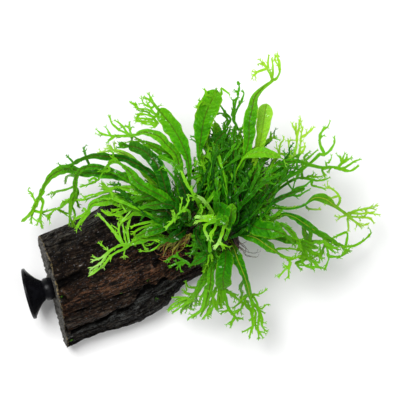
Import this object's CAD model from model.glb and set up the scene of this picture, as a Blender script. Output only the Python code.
"""Dresses a java fern on driftwood: crested fronds, wet wood, roots and a rubber suction cup.

Lengths are in mm until a mesh is finished. What grows is placed by where it shows in a view
from straight above, so its routes are in that view's pixels, with a height for each.
"""

import functools
import logging
import math
import random
from dataclasses import dataclass
from enum import Enum

import bmesh
import bpy
import numpy as np
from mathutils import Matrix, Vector, noise
from mathutils.bvhtree import BVHTree


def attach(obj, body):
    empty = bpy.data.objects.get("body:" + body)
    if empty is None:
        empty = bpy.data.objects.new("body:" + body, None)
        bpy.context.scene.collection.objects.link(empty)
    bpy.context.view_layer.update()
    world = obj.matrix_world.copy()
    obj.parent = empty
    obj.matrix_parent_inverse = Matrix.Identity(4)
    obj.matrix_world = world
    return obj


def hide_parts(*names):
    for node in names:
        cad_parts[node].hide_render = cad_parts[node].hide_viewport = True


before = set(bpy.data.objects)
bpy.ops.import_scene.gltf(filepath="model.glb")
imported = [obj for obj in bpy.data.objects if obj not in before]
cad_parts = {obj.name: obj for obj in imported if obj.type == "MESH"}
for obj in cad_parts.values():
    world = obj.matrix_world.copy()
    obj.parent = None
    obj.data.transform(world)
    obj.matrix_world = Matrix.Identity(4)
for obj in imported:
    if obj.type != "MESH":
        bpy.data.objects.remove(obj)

LOG = logging.getLogger("java fern")
MM = 0.001
TINY = 1e-9
UP = np.array((0.0, 0.0, 1.0))
ABOVE = 200.0  # mm, higher than all of the wood
CURVE_STEPS = 10  # between two points of a curve, before it is spaced evenly
Colour = tuple[float, float, float]
Triple = tuple[float, float, float]
Pixel = tuple[float, float]
Span = tuple[float, float]


# ---------------------------------------------------------------- places and curves


@dataclass(frozen=True)
class Picture:
    """The view from straight above that places what grows on the wood."""

    side: int = 401  # pixels
    middle: Pixel = (200.5, 200.5)
    origin: Pixel = (136.0, 262.0)  # where the part's origin shows
    pixel: float = 0.77  # mm at the height below
    pixel_height: float = 60.0
    camera_height: float = 1500.0
    turn: float = math.radians(14.5)  # the suction cup's axis rises this much to the right

    def scale(self, heights: np.ndarray) -> np.ndarray:
        """How many mm a pixel covers at these heights."""
        return self.pixel * (self.camera_height - heights) / (self.camera_height - self.pixel_height)

    def from_middle(self, pixels: np.ndarray, heights: np.ndarray) -> np.ndarray:
        """Places under the camera, measured from the picture's middle.

        Args:
            pixels: n by 2.
            heights: n heights in mm.

        Returns:
            n by 3 places in mm.
        """
        across = (pixels[:, 0] - self.middle[0]) * self.scale(heights)
        up = (self.middle[1] - pixels[:, 1]) * self.scale(heights)
        cos, sin = math.cos(self.turn), math.sin(self.turn)
        return np.column_stack((across * cos + up * sin, up * cos - across * sin, heights))

    def corner(self) -> np.ndarray:
        """The part's origin, in mm from the picture's middle."""
        return self.from_middle(np.array([self.origin]), np.zeros(1))[0]

    def places(self, pixels: np.ndarray, heights: np.ndarray) -> np.ndarray:
        """Places in the part's own frame, in mm, that show at these pixels at these heights."""
        return self.from_middle(pixels, heights) - self.corner()

    def place(self, x: float, y: float, height: float) -> np.ndarray:
        """One place in mm, from its pixel and height."""
        return self.places(np.array([[x, y]], float), np.array([float(height)]))[0]

    def pixels(self, places: np.ndarray) -> np.ndarray:
        """The pixels at which places show.

        Args:
            places: n by 3 in mm.

        Returns:
            n by 2 pixels.
        """
        flat = places[:, :2] + self.corner()[:2]
        cos, sin = math.cos(self.turn), math.sin(self.turn)
        across = flat[:, 0] * cos - flat[:, 1] * sin
        up = flat[:, 0] * sin + flat[:, 1] * cos
        scale = self.scale(places[:, 2])
        return np.column_stack((self.middle[0] + across / scale, self.middle[1] - up / scale))

    def camera_place(self) -> np.ndarray:
        """Where the camera stands, in mm."""
        x, y, _ = self.corner()
        return np.array((-x, -y, self.camera_height))


def ease(low: float, high: float, value: np.ndarray) -> np.ndarray:
    """0 below low, 1 above high and a smooth rise between."""
    share = np.clip((np.asarray(value, float) - low) / (high - low), 0.0, 1.0)
    return share * share * (3.0 - 2.0 * share)


def curve_through(points: np.ndarray, count: int) -> np.ndarray:
    """A smooth curve through points.

    Args:
        points: two or more, n by any number of columns.
        count: how many evenly spaced points to give back.

    Returns:
        count points along the curve.
    """
    points = np.asarray(points, float)
    ends = np.vstack((points[0] * 2 - points[1], points, points[-1] * 2 - points[-2]))
    t = (np.arange(CURVE_STEPS) / CURVE_STEPS)[:, None]
    line = []
    for a, b, c, d in zip(ends, ends[1:], ends[2:], ends[3:]):
        line.append(0.5 * (2 * b + (c - a) * t + (2 * a - 5 * b + 4 * c - d) * t * t
                           + (3 * b - a - 3 * c + d) * t ** 3))
    line = np.vstack((*line, points[-1:]))
    run = np.concatenate(([0.0], np.cumsum(np.linalg.norm(np.diff(line, axis=0), axis=1))))
    wanted = np.linspace(0.0, run[-1], count)
    return np.column_stack([np.interp(wanted, run, column) for column in line.T])


def wander(rng: random.Random, run: np.ndarray, wave: float) -> np.ndarray:
    """A smooth seeded wobble between -1 and 1 along a run in mm, with waves of about this length."""
    place = rng.uniform(0.0, 500.0)
    return np.array([2.0 * noise.noise(Vector((place, s / wave, 0.0))) for s in run])


def unit(vectors: np.ndarray) -> np.ndarray:
    """The same vectors at length 1."""
    return vectors / (np.linalg.norm(vectors, axis=-1, keepdims=True) + TINY)


def smoothed(values: np.ndarray, rounds: int) -> np.ndarray:
    """Values with their bends softened this many times, the two ends kept."""
    for _ in range(rounds):
        values[1:-1] = (values[:-2] + values[1:-1] * 2 + values[2:]) / 4
    return values


def length_of(route: list[Pixel]) -> float:
    """How long a route is, in pixels."""
    return sum(math.dist(a, b) for a, b in zip(route, route[1:]))


def halfway(a: Pixel, b: Pixel, dx: float = 0.0, dy: float = 0.0) -> Pixel:
    """The pixel between two others, moved by dx and dy."""
    return (a[0] + b[0]) / 2 + dx, (a[1] + b[1]) / 2 + dy


def step_from(place: Pixel, turn: float, size: float) -> Pixel:
    """The pixel at a distance from another one, in a direction."""
    return place[0] + size * math.cos(turn), place[1] + size * math.sin(turn)


def bent_route(start: Pixel, lean: float, size: float, bends: tuple[float, ...]) -> list[Pixel]:
    """A short route of equal steps.

    Args:
        start: the pixel where it begins.
        lean: its direction there, in radians.
        size: its length in pixels.
        bends: how much it turns before each step.

    Returns:
        Its pixels, with the start.
    """
    route = [start]
    for bend in bends:
        lean += bend
        route.append(step_from(route[-1], lean, size / len(bends)))
    return route


def wood_top(wood: BVHTree, x: float, y: float) -> float | None:
    """The height of the wood's top at a place, all in mm, or None beside the wood."""
    hit = wood.ray_cast(Vector((x, y, ABOVE)) * MM, Vector((0.0, 0.0, -1.0)))[0]
    return None if hit is None else hit.z / MM


def set_vectors(mesh: bpy.types.Mesh, name: str, values: np.ndarray) -> None:
    """Gives each vertex of a mesh a vector, which its finish reads."""
    mesh.attributes.new(name, "FLOAT_VECTOR", "POINT").data.foreach_set("vector", values.ravel())


def enrol(piece: bpy.types.Object, slot: str, *nodes: str) -> None:
    """Ties a finished piece to the frame and reports it.

    Args:
        piece: the piece.
        slot: the material slot of the record.
        *nodes: the CAD nodes that it stands for.
    """
    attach(piece, "root")
    if nodes:
        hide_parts(*nodes)
    LOG.info("%s: %d faces", piece.name, len(piece.data.polygons))


def add_object(name: str, mesh: bpy.types.Mesh, slot: str, *nodes: str) -> None:
    """Puts a finished mesh, in metres, in the scene and ties it to the frame."""
    piece = bpy.data.objects.new(name, mesh)
    bpy.context.scene.collection.objects.link(piece)
    enrol(piece, slot, *nodes)


def select_only(piece: bpy.types.Object) -> None:
    """Makes one object the only selected and the active one."""
    bpy.ops.object.select_all(action="DESELECT")
    piece.select_set(True)
    bpy.context.view_layer.objects.active = piece


# ---------------------------------------------------------------- finishes


class Graph:
    """Adds shader nodes to a tree and joins them."""

    def __init__(self, tree: bpy.types.NodeTree) -> None:
        """Starts on a tree."""
        self.tree = tree

    def feed(self, socket: bpy.types.NodeSocket, value: object) -> None:
        """Joins an input to another node, or sets its own value.

        Args:
            socket: the input.
            value: an output, a number, or a tuple, which may be a colour.
        """
        if isinstance(value, bpy.types.NodeSocket):
            self.tree.links.new(value, socket)
        elif isinstance(value, tuple) and socket.type == "RGBA":
            socket.default_value = (*value[:3], 1.0)
        else:
            socket.default_value = value

    def feed_all(self, node: bpy.types.Node, inputs: dict) -> None:
        """Feeds inputs of a node, by name or number, with values or sockets."""
        for key, value in inputs.items():
            self.feed(node.inputs[key], value)

    def node(self, kind: str, inputs: dict | None = None, **settings: object) -> bpy.types.Node:
        """Adds a node.

        Args:
            kind: its type without "ShaderNode".
            inputs: values or sockets by input name or number.
            **settings: its properties.

        Returns:
            The node.
        """
        made = self.tree.nodes.new("ShaderNode" + kind)
        for key, value in settings.items():
            setattr(made, key, value)
        self.feed_all(made, inputs or {})
        return made

    def group(self, tree: bpy.types.NodeTree, inputs: dict) -> bpy.types.bpy_prop_collection:
        """The outputs of a node group that is fed with these inputs."""
        return self.node("Group", inputs, node_tree=tree).outputs

    def math(self, operation: str, a: object, b: object = 0.0, clamp: bool = False) -> bpy.types.NodeSocket:
        """One sum of one or two values."""
        return self.node("Math", {0: a, 1: b}, operation=operation, use_clamp=clamp).outputs[0]

    def plus(self, a: object, b: object, clamp: bool = False) -> bpy.types.NodeSocket:
        """Two values added."""
        return self.math("ADD", a, b, clamp)

    def times(self, a: object, b: object, clamp: bool = False) -> bpy.types.NodeSocket:
        """Two values multiplied."""
        return self.math("MULTIPLY", a, b, clamp)

    def size(self, value: object) -> bpy.types.NodeSocket:
        """A value without its sign."""
        return self.math("ABSOLUTE", value)

    def between(self, value: object, low: float, high: float) -> bpy.types.NodeSocket:
        """0 below low, 1 above high, smooth between. Low may be the larger one."""
        return self.node("MapRange", {0: value, 1: low, 2: high, 3: 0.0, 4: 1.0},
                         interpolation_type="SMOOTHSTEP").outputs[0]

    def threads(self, value: object, wide: float, thin: float) -> bpy.types.NodeSocket:
        """Thin lines where a noise passes through its middle: 1 within thin and 0 beyond wide."""
        return self.between(self.size(self.plus(value, -0.5)), wide, thin)

    def mix(self, share: object, a: object, b: object) -> bpy.types.NodeSocket:
        """A mix of two colours.

        Args:
            share: how much there is of the second.
            a: the first colour.
            b: the second colour.

        Returns:
            The mixed colour.
        """
        made = self.node("Mix", data_type="RGBA")
        for name, value in (("Factor_Float", share), ("A_Color", a), ("B_Color", b)):
            self.feed(next(s for s in made.inputs if s.identifier == name), value)
        return next(s for s in made.outputs if s.identifier == "Result_Color")

    def noise(self, vector: object, scale: float, detail: float, rough: float = 0.5) -> bpy.types.NodeSocket:
        """A noise value from 0 to 1."""
        return self.node("TexNoise", {"Vector": vector, "Scale": scale, "Detail": detail,
                                      "Roughness": rough}).outputs["Fac"]

    def film(self, scale: float, low: float, high: float) -> bpy.types.NodeSocket:
        """Small round spots of a noise, 0 below low and 1 above high."""
        return self.between(self.noise(self.stretched(), scale, 2.0), low, high)

    def bump(self, height: object, strength: float, distance: float) -> bpy.types.NodeSocket:
        """A normal from a height, whose whole range is a distance in metres."""
        return self.node("Bump", {"Strength": strength, "Distance": distance, "Height": height}).outputs[0]

    def vector(self, x: object, y: object, z: object) -> bpy.types.NodeSocket:
        """A vector from three values."""
        return self.node("CombineXYZ", {0: x, 1: y, 2: z}).outputs[0]

    def split(self, name: str) -> tuple:
        """The three values of a mesh's vector attribute."""
        vector = self.node("Attribute", attribute_name=name).outputs["Vector"]
        return tuple(self.node("SeparateXYZ", {0: vector}).outputs)

    def stretched(self, scale: Triple = (1.0, 1.0, 1.0), turn: float = 0.0) -> bpy.types.NodeSocket:
        """Object coordinates, turned about Z and stretched."""
        place = self.node("TexCoord").outputs["Object"]
        turned = self.node("Mapping", {"Vector": place, "Rotation": (0.0, 0.0, turn)}).outputs[0]
        return self.node("Mapping", {"Vector": turned, "Scale": scale}).outputs[0]


def new_group(name: str, inputs: dict[str, str], outputs: dict[str, str]) -> tuple:
    """An empty shader node group.

    Args:
        name: the group's name.
        inputs: socket kinds by name.
        outputs: socket kinds by name.

    Returns:
        The group, its graph, its inputs by name and its output node.
    """
    group = bpy.data.node_groups.new(name, "ShaderNodeTree")
    for way, sockets in (("INPUT", inputs), ("OUTPUT", outputs)):
        for socket, kind in sockets.items():
            group.interface.new_socket(name=socket, in_out=way, socket_type="NodeSocket" + kind)
    graph = Graph(group)
    start = group.nodes.new("NodeGroupInput").outputs
    return group, graph, start, group.nodes.new("NodeGroupOutput")


def new_material(name: str) -> tuple:
    """A Principled material, its graph and its shader."""
    made = bpy.data.materials.new(name)
    made.use_nodes = True
    return made, Graph(made.node_tree), made.node_tree.nodes["Principled BSDF"]


class Patterns:
    """Shader node groups that more than one finish uses, each built once."""

    @staticmethod
    @functools.cache
    def leaf() -> bpy.types.NodeTree:
        """Leaf tissue: veins, puckers, midrib, red stipe and yellow tips, from the leaf's attributes.

        Returns:
            The group, fed with the colours of the blade, its shade and its tips.
        """
        milk, red_stipe = (0.420, 0.760, 0.190), (0.040, 0.014, 0.006)
        yellow_rib, brown_rib = (0.33, 0.42, 0.03), (0.075, 0.050, 0.010)
        group, g, start, end = new_group(
            "leaf tissue", {"Blade": "Color", "Shade": "Color", "Tip": "Color"},
            {"Colour": "Color", "Roughness": "Float", "Gloss": "Float", "Height": "Float"})
        across, run, half = g.split("leaf")
        tone, tip, rib = g.split("look")
        stipe = g.node("Attribute", attribute_name="stipe").outputs["Fac"]
        beside = g.times(across, half)
        side = g.size(beside)  # mm from the midrib
        flat = g.vector(beside, run, g.times(tone, 7.0))
        slant = g.plus(g.plus(run, g.times(side, -0.8)), g.times(g.noise(flat, 0.35, 2.0), 2.5))
        ripple = g.math("SINE", g.times(slant, 1.75))
        net = g.node("TexVoronoi", {"Vector": flat, "Scale": 0.75}, feature="DISTANCE_TO_EDGE").outputs[0]
        broad = g.between(half, 1.0, 2.2)  # narrow leaves have no veins
        veins = g.times(g.plus(g.times(g.between(ripple, 0.80, 1.0), 0.5), g.between(net, 0.10, 0.0)), broad)
        mottle = g.between(g.noise(flat, 0.28, 4.0, 0.6), 0.35, 0.68)
        colour = g.mix(g.plus(mottle, g.times(tone, 0.5), clamp=True), start["Shade"], start["Blade"])
        colour = g.mix(tip, colour, start["Tip"])
        colour = g.mix(g.times(g.between(tip, 1.05, 1.9), 0.75), colour, milk)
        colour = g.mix(g.times(veins, 0.38, clamp=True), colour, start["Shade"])
        margin = g.between(g.size(across), 0.80, 1.0)
        colour = g.mix(g.times(margin, 0.25), colour, start["Tip"])
        line = g.times(g.between(side, 0.42, 0.18), g.size(rib))
        midrib = g.mix(g.between(rib, -0.2, 0.2), yellow_rib, brown_rib)
        colour = g.mix(g.times(line, broad), colour, midrib)
        colour = g.mix(g.times(stipe, 0.8), colour, red_stipe)
        specks = g.between(g.noise(flat, 1.9, 2.0), 0.70, 0.78)
        colour = g.mix(g.times(specks, 0.35), colour, start["Shade"])
        swell = g.times(g.times(ripple, 0.16), broad)
        ribbing = g.times(g.between(side, 0.55, 0.15), -0.30)
        height = g.plus(g.plus(swell, ribbing), g.times(veins, -0.10))
        g.feed_all(end, {
            "Colour": colour, "Roughness": g.plus(g.times(g.film(160.0, 0.35, 0.70), 0.22), 0.24),
            "Gloss": g.times(g.film(480.0, 0.55, 0.66), 0.5),
            "Height": g.plus(height, g.times(g.noise(flat, 0.9, 3.0), 0.28))})
        return group

    @staticmethod
    @functools.cache
    def fibres() -> bpy.types.NodeTree:
        """Fibres along a stem or a log.

        Returns:
            The group, fed with a place. It gives a value for colour and a height.
        """
        group, g, start, end = new_group("fibres", {"Vector": "Vector"},
                                         {"Streaks": "Float", "Height": "Float"})
        closer = g.node("VectorMath", {0: start["Vector"], 1: (3.1, 3.1, 3.1)}, operation="MULTIPLY")
        coarse = g.noise(start["Vector"], 1.0, 5.0, 0.65)
        fine = g.noise(closer.outputs[0], 1.0, 4.0, 0.7)
        g.feed_all(end, {"Streaks": g.plus(g.times(coarse, 0.6), g.times(fine, 0.4)),
                         "Height": g.plus(coarse, g.times(fine, 0.5))})
        return group


@dataclass(frozen=True)
class LeafFinish:
    """Living leaf, wet and a little see-through."""

    name: str
    blade: Colour
    shade: Colour
    tip: Colour = (0.200, 0.550, 0.020)

    def material(self) -> bpy.types.Material:
        """Makes the finish at its first use.

        Returns:
            The material.
        """
        if self.name in bpy.data.materials:
            return bpy.data.materials[self.name]
        made, g, shader = new_material(self.name)
        tissue = g.group(Patterns.leaf(), {"Blade": self.blade, "Shade": self.shade, "Tip": self.tip})
        g.feed_all(shader, {
            "Base Color": tissue["Colour"], "Roughness": tissue["Roughness"],
            "Normal": g.bump(tissue["Height"], 0.80, 0.0015),
            "Coat Weight": tissue["Gloss"], "Coat Roughness": 0.12,
            "Specular IOR Level": 0.12, "Specular Tint": (0.60, 0.95, 0.30),
            "Subsurface Weight": 0.25, "Subsurface Radius": (0.45, 1.0, 0.12), "Subsurface Scale": 0.0012})
        return made


class Tone(Enum):
    """How a frond shows: its age, and how deep it stands in the clump."""

    DEEP = LeafFinish("fern leaf deep", (0.006, 0.090, 0.002), (0.002, 0.030, 0.001), (0.034, 0.210, 0.004))
    DARK = LeafFinish("fern leaf dark", (0.016, 0.178, 0.002), (0.005, 0.074, 0.001), (0.080, 0.350, 0.005))
    MID = LeafFinish("fern leaf mid", (0.058, 0.325, 0.002), (0.017, 0.165, 0.001), (0.190, 0.520, 0.010))
    LIGHT = LeafFinish("fern leaf light", (0.135, 0.440, 0.005), (0.056, 0.290, 0.003))
    PALE = LeafFinish("fern leaf pale", (0.245, 0.560, 0.014), (0.135, 0.415, 0.007), (0.380, 0.700, 0.085))
    RIPE = LeafFinish("fern leaf yellow-tipped", (0.062, 0.330, 0.002), (0.020, 0.175, 0.001),
                      (0.360, 0.680, 0.034))


@dataclass(frozen=True)
class WoodFinish:
    """Waterlogged wood: near black, with reddish and grey-brown faces, a paler cut and algae."""

    black: Colour = (0.0048, 0.0034, 0.0030)
    brown: Colour = (0.035, 0.0230, 0.0125)
    red: Colour = (0.106, 0.047, 0.0210)
    rust: Colour = (0.200, 0.072, 0.0320)
    grey: Colour = (0.088, 0.0820, 0.0700)
    cool: Colour = (0.078, 0.0830, 0.0790)
    speck: Colour = (0.150, 0.160, 0.180)
    cut: Colour = (0.150, 0.143, 0.128)
    cut_pores: Colour = (0.026, 0.023, 0.020)
    cut_rim: Colour = (0.340, 0.260, 0.115)
    hollow: Colour = (0.0010, 0.0008, 0.0007)
    algae: Colour = (0.080, 0.260, 0.012)
    turn: float = math.radians(-9)

    def along(self, g: Graph, scale: Triple, detail: float, rough: float) -> bpy.types.NodeSocket:
        """A noise that is stretched along the grain."""
        return g.noise(g.stretched(scale, self.turn), 1.0, detail, rough)

    def material(self) -> bpy.types.Material:
        """Makes the finish.

        Returns:
            The material.
        """
        made, g, shader = new_material("wet driftwood, fibrous")
        red, grey, dark = g.split("stain")
        cut, algae, edge = g.split("place")
        fibres = g.group(Patterns.fibres(), {"Vector": g.stretched((95.0, 800.0, 800.0), self.turn)})
        streaks = g.between(fibres["Streaks"], 0.46, 0.56)
        grain = self.along(g, (300.0, 480.0, 480.0), 4.0, 0.7)
        flecks = g.between(grain, 0.48, 0.60)
        base = g.mix(g.times(flecks, g.plus(g.times(streaks, 0.5), 0.5)), self.black, self.brown)
        patches = g.between(self.along(g, (70.0, 120.0, 120.0), 5.0, 0.65), 0.42, 0.58)
        worn = g.times(patches, g.plus(g.times(flecks, 0.7), 0.3))
        base = g.mix(g.times(red, worn, clamp=True), base, self.red)
        seams = g.threads(self.along(g, (60.0, 260.0, 260.0), 4.0, 0.6), 0.020, 0.004)
        base = g.mix(g.times(g.times(seams, red), 0.55, clamp=True), base, self.rust)
        pale = g.plus(g.times(streaks, 0.75), g.times(flecks, 0.25))
        faced = g.mix(g.between(red, -0.05, -0.40), self.grey, self.cool)
        base = g.mix(g.times(grey, pale, clamp=True), base, faced)
        lines = g.threads(self.along(g, (34.0, 330.0, 330.0), 3.0, 0.6), 0.036, 0.012)
        base = g.mix(g.times(lines, 0.9), base, self.black)
        base = g.mix(g.times(g.film(950.0, 0.66, 0.70), 0.7), base, self.speck)
        rings = g.between(g.noise(g.stretched((30.0, 420.0, 140.0)), 1.0, 5.0, 0.7), 0.40, 0.54)
        base = g.mix(cut, base, g.mix(rings, self.cut_pores, self.cut))
        base = g.mix(edge, base, self.cut_rim)
        base = g.mix(dark, base, self.hollow)
        base = g.mix(g.times(algae, g.film(800.0, 0.52, 0.58)), base, self.algae)
        wet = g.noise(g.stretched(), 210.0, 3.0)
        relief = g.plus(g.plus(fibres["Height"], g.times(grain, 0.8)), g.times(lines, -0.5))
        g.feed_all(shader, {
            "Base Color": base, "Roughness": g.plus(g.times(wet, 0.4), 0.35),
            "Normal": g.bump(relief, 0.8, 0.0010), "Specular IOR Level": 0.035,
            "Coat Weight": g.times(g.between(grain, 0.58, 0.70), 0.5), "Coat Roughness": 0.16})
        return made


@dataclass(frozen=True)
class RubberFinish:
    """Black moulded rubber with a little dust and a satin sheen."""

    colour: Colour = (0.0030, 0.0030, 0.0040)
    dust: Colour = (0.0062, 0.0062, 0.0085)

    def material(self) -> bpy.types.Material:
        """Makes the finish.

        Returns:
            The material.
        """
        made, g, shader = new_material("black rubber, moulded")
        cloud = g.noise(g.stretched(), 190.0, 4.0)
        g.feed_all(shader, {
            "Base Color": g.mix(g.between(cloud, 0.45, 0.75), self.colour, self.dust),
            "Roughness": g.plus(g.times(cloud, 0.26), 0.16), "Specular IOR Level": 0.14,
            "Normal": g.bump(g.noise(g.stretched(), 2200.0, 2.0), 0.25, 0.0002)})
        return made


@dataclass(frozen=True)
class RootFinish:
    """Rhizome skin and root hairs: brown, with olive or orange ones among them."""

    name: str
    dark: Colour
    light: Colour

    def material(self) -> bpy.types.Material:
        """Makes the finish.

        Returns:
            The material.
        """
        made, g, shader = new_material(self.name)
        fibres = g.group(Patterns.fibres(), {"Vector": g.stretched((300.0, 300.0, 300.0))})
        tone = g.split("look")[0]
        share = g.plus(g.between(fibres["Streaks"], 0.35, 0.65), tone, clamp=True)
        g.feed_all(shader, {
            "Base Color": g.mix(share, self.dark, self.light),
            "Roughness": g.plus(g.times(fibres["Streaks"], 0.3), 0.4),
            "Normal": g.bump(fibres["Height"], 0.6, 0.0004)})
        return made


# ---------------------------------------------------------------- leaves


@dataclass
class Ribbon:
    """A leaf or strand as a line with widths, ready to be skinned."""

    line: np.ndarray  # n by 3, mm
    widths: np.ndarray  # n, mm
    tip: np.ndarray  # n, 0 on the blade and 1 at a crest's tips
    tone: float = 0.0
    rib: float = 0.0
    stipe: bool = False
    ruffle: float = 0.0  # mm, how far the margins wave up and down
    fold: float = 0.12  # how much the two halves rise from the midrib
    twist: np.ndarray | None = None  # n, radians
    thickness: float = 0.45  # mm
    columns: int = 5

    def run(self) -> np.ndarray:
        """The distance of each point along the line, in mm."""
        steps = np.linalg.norm(np.diff(self.line, axis=0), axis=1)
        return np.concatenate(([0.0], np.cumsum(steps)))


Grown = tuple[np.ndarray, Ribbon]  # the pixels of a blade or strand, and its ribbon


class LeafMesh:
    """Skins ribbons as closed, lens-shaped leaves and joins them as one mesh."""

    wave_sizes: Span = (5.0, 14.0)  # mm, a margin's short and long waves
    wave_depths: Span = (0.14, 0.12)  # shares of half the width
    plain_width: float = 6.0  # mm, above which the waves get shallower
    curl: float = 1.6  # how late the ruffle rises towards a margin
    lens: float = 2.4  # how full the cross-section is
    red_fades: Span = (0.12, 0.40)  # shares of a frond's length between which its red foot fades
    sharp: float = math.radians(50)

    def __init__(self, rng: random.Random) -> None:
        """Starts empty.

        Args:
            rng: the chance that draws its margins.
        """
        self.rng = rng
        self.verts: list[np.ndarray] = []
        self.faces: list[tuple[int, ...]] = []
        self.leaf: list[np.ndarray] = []
        self.look: list[np.ndarray] = []
        self.stipe: list[np.ndarray] = []
        self.count = 0

    @staticmethod
    def frames(line: np.ndarray, twist: np.ndarray | None) -> tuple[np.ndarray, np.ndarray]:
        """The directions across and up from a ribbon.

        Args:
            line: its n points.
            twist: how far it is turned about its line at each, in radians.

        Returns:
            n directions to the right and n up.
        """
        ahead = unit(np.gradient(line, axis=0))
        chord = line[-1] - line[0]
        chord[2] = 0.0
        right = unit(np.cross(ahead, UP) + np.cross(chord, UP) * 1e-3)
        for i in range(1, len(right)):
            if right[i] @ right[i - 1] < 0:
                right[i] = -right[i]
        right = smoothed(right, 2)
        right = unit(right - ahead * np.sum(right * ahead, axis=1)[:, None])
        up = np.cross(right, ahead)
        if twist is not None:
            cos, sin = np.cos(twist)[:, None], np.sin(twist)[:, None]
            right, up = right * cos + up * sin, up * cos - right * sin
        return right, up

    def skin(self, ring: np.ndarray, leaf: np.ndarray, look: np.ndarray, stipe: np.ndarray) -> None:
        """Joins rings of points as one closed solid and takes it in.

        Args:
            ring: rings by sides by 3, in mm.
            leaf: the places on the leaf, as many as the points or fewer that stand for all.
            look: the tone, the tip's share and the rib, in the same way.
            stipe: how red, in the same way.
        """
        count, sides = ring.shape[:2]
        self.verts.append(ring.reshape(-1, 3))
        self.leaf.append(np.broadcast_to(leaf, ring.shape).reshape(-1, 3))
        self.look.append(np.broadcast_to(look, ring.shape).reshape(-1, 3))
        self.stipe.append(np.broadcast_to(stipe, (count, sides)).ravel())
        for low in range(self.count, self.count + (count - 1) * sides, sides):
            for k in range(sides):
                after = (k + 1) % sides
                self.faces.append((low + k, low + after, low + sides + after, low + sides + k))
        self.faces.append(tuple(range(self.count + sides - 1, self.count - 1, -1)))
        self.count += count * sides
        self.faces.append(tuple(range(self.count - sides, self.count)))

    def add(self, ribbon: Ribbon) -> None:
        """Skins a ribbon and takes it in.

        Args:
            ribbon: the leaf or strand. It gets uneven, waved margins here.
        """
        run = ribbon.run()
        right, up = self.frames(ribbon.line, ribbon.twist)
        half = ribbon.widths / 2
        rough = min(1.0, self.plain_width / ribbon.widths.max())
        (short, long), (deep, shallow) = self.wave_sizes, self.wave_depths
        halves = [half * (1 + rough * (deep * wander(self.rng, run, short)
                                       + shallow * wander(self.rng, run, long)))
                  for _ in range(2)]  # left and right
        waves = [wander(self.rng, run, short) for _ in range(2)]
        thin = np.minimum(ribbon.thickness, ribbon.widths * 0.5)
        across = np.linspace(-1.0, 1.0, ribbon.columns)
        tops, bottoms = [], []
        for a in across:
            side = int(a >= 0)
            lift = half * (ribbon.fold * abs(a) - 0.5 * ribbon.fold * a * a)
            lift = lift + ribbon.ruffle * abs(a) ** self.curl * waves[side]
            body = thin / 2 * (1 - abs(a) ** self.lens)
            middle = ribbon.line + right * (a * halves[side])[:, None] + up * lift[:, None]
            tops.append(middle + up * body[:, None])
            bottoms.append(middle - up * body[:, None])
        places = np.concatenate((across, across[-2:0:-1]))
        red = 1 - ease(*self.red_fades, run / run[-1]) if ribbon.stipe else np.zeros(len(run))
        self.skin(np.stack(tops + bottoms[-2:0:-1], axis=1),
                  np.stack(np.broadcast_arrays(places[None, :], run[:, None], half[:, None]), axis=2),
                  np.stack(np.broadcast_arrays(ribbon.tone, ribbon.tip[:, None], ribbon.rib), axis=2),
                  red[:, None])

    def mesh(self, name: str, material: bpy.types.Material) -> bpy.types.Mesh:
        """The finished mesh in metres.

        Args:
            name: its name.
            material: its finish.

        Returns:
            The mesh, with the attributes that the finish reads.
        """
        made = bpy.data.meshes.new(name)
        made.from_pydata((np.vstack(self.verts) * MM).tolist(), [], self.faces)
        set_vectors(made, "leaf", np.vstack(self.leaf))
        set_vectors(made, "look", np.vstack(self.look))
        made.attributes.new("stipe", "FLOAT", "POINT").data.foreach_set("value", np.concatenate(self.stipe))
        made.shade_smooth()
        made.set_sharp_from_angle(angle=self.sharp)
        made.materials.append(material)
        made.validate()
        return made


@dataclass
class Strand:
    """A strand of a crest: the pixels it runs through and its width where it starts."""

    pixels: list[Pixel]
    width: float  # mm
    blunt: bool = False  # ends as a rounded small leaf, without teeth
    lift: float = 0.0  # mm above the crest's own height
    milk: float = 0.0  # how whitish it is at its tip
    shift: float = 0.0  # how much lighter or darker it is than its frond


def strand(*numbers: float, w: float = 2.3, blunt: bool = False, lift: float = 0.0, milk: float = 0.0,
           shift: float = 0.0) -> Strand:
    """A strand from x, y, x, y and so on, in pixels."""
    return Strand(list(zip(numbers[::2], numbers[1::2])), w, blunt, lift, milk, shift)


@dataclass
class Frond:
    """One frond: its midrib's route, its blade and the strands of its crest."""

    route: list[Pixel]  # pixels, from where it has left the rhizome to where its crest begins
    heights: tuple[float, float, float]  # mm at the middle, at the crest's start and at its tips
    width: float  # mm at the widest
    tone: Tone
    crest: list[Strand]
    light: float = 1.0  # how yellow the crest's tips are
    rib: float = 0.7  # brown midrib, or yellow if negative
    widths: list[tuple[float, float]] | None = None  # share of the route and mm
    blunt: bool = False  # the blade ends broad and round
    twist: float = 0.40  # radians, the most that the blade turns
    shift: float = 0.0  # how much lighter or darker it is than its tone
    fine: float = 0.8  # short thin strands for each strand of the crest


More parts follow.
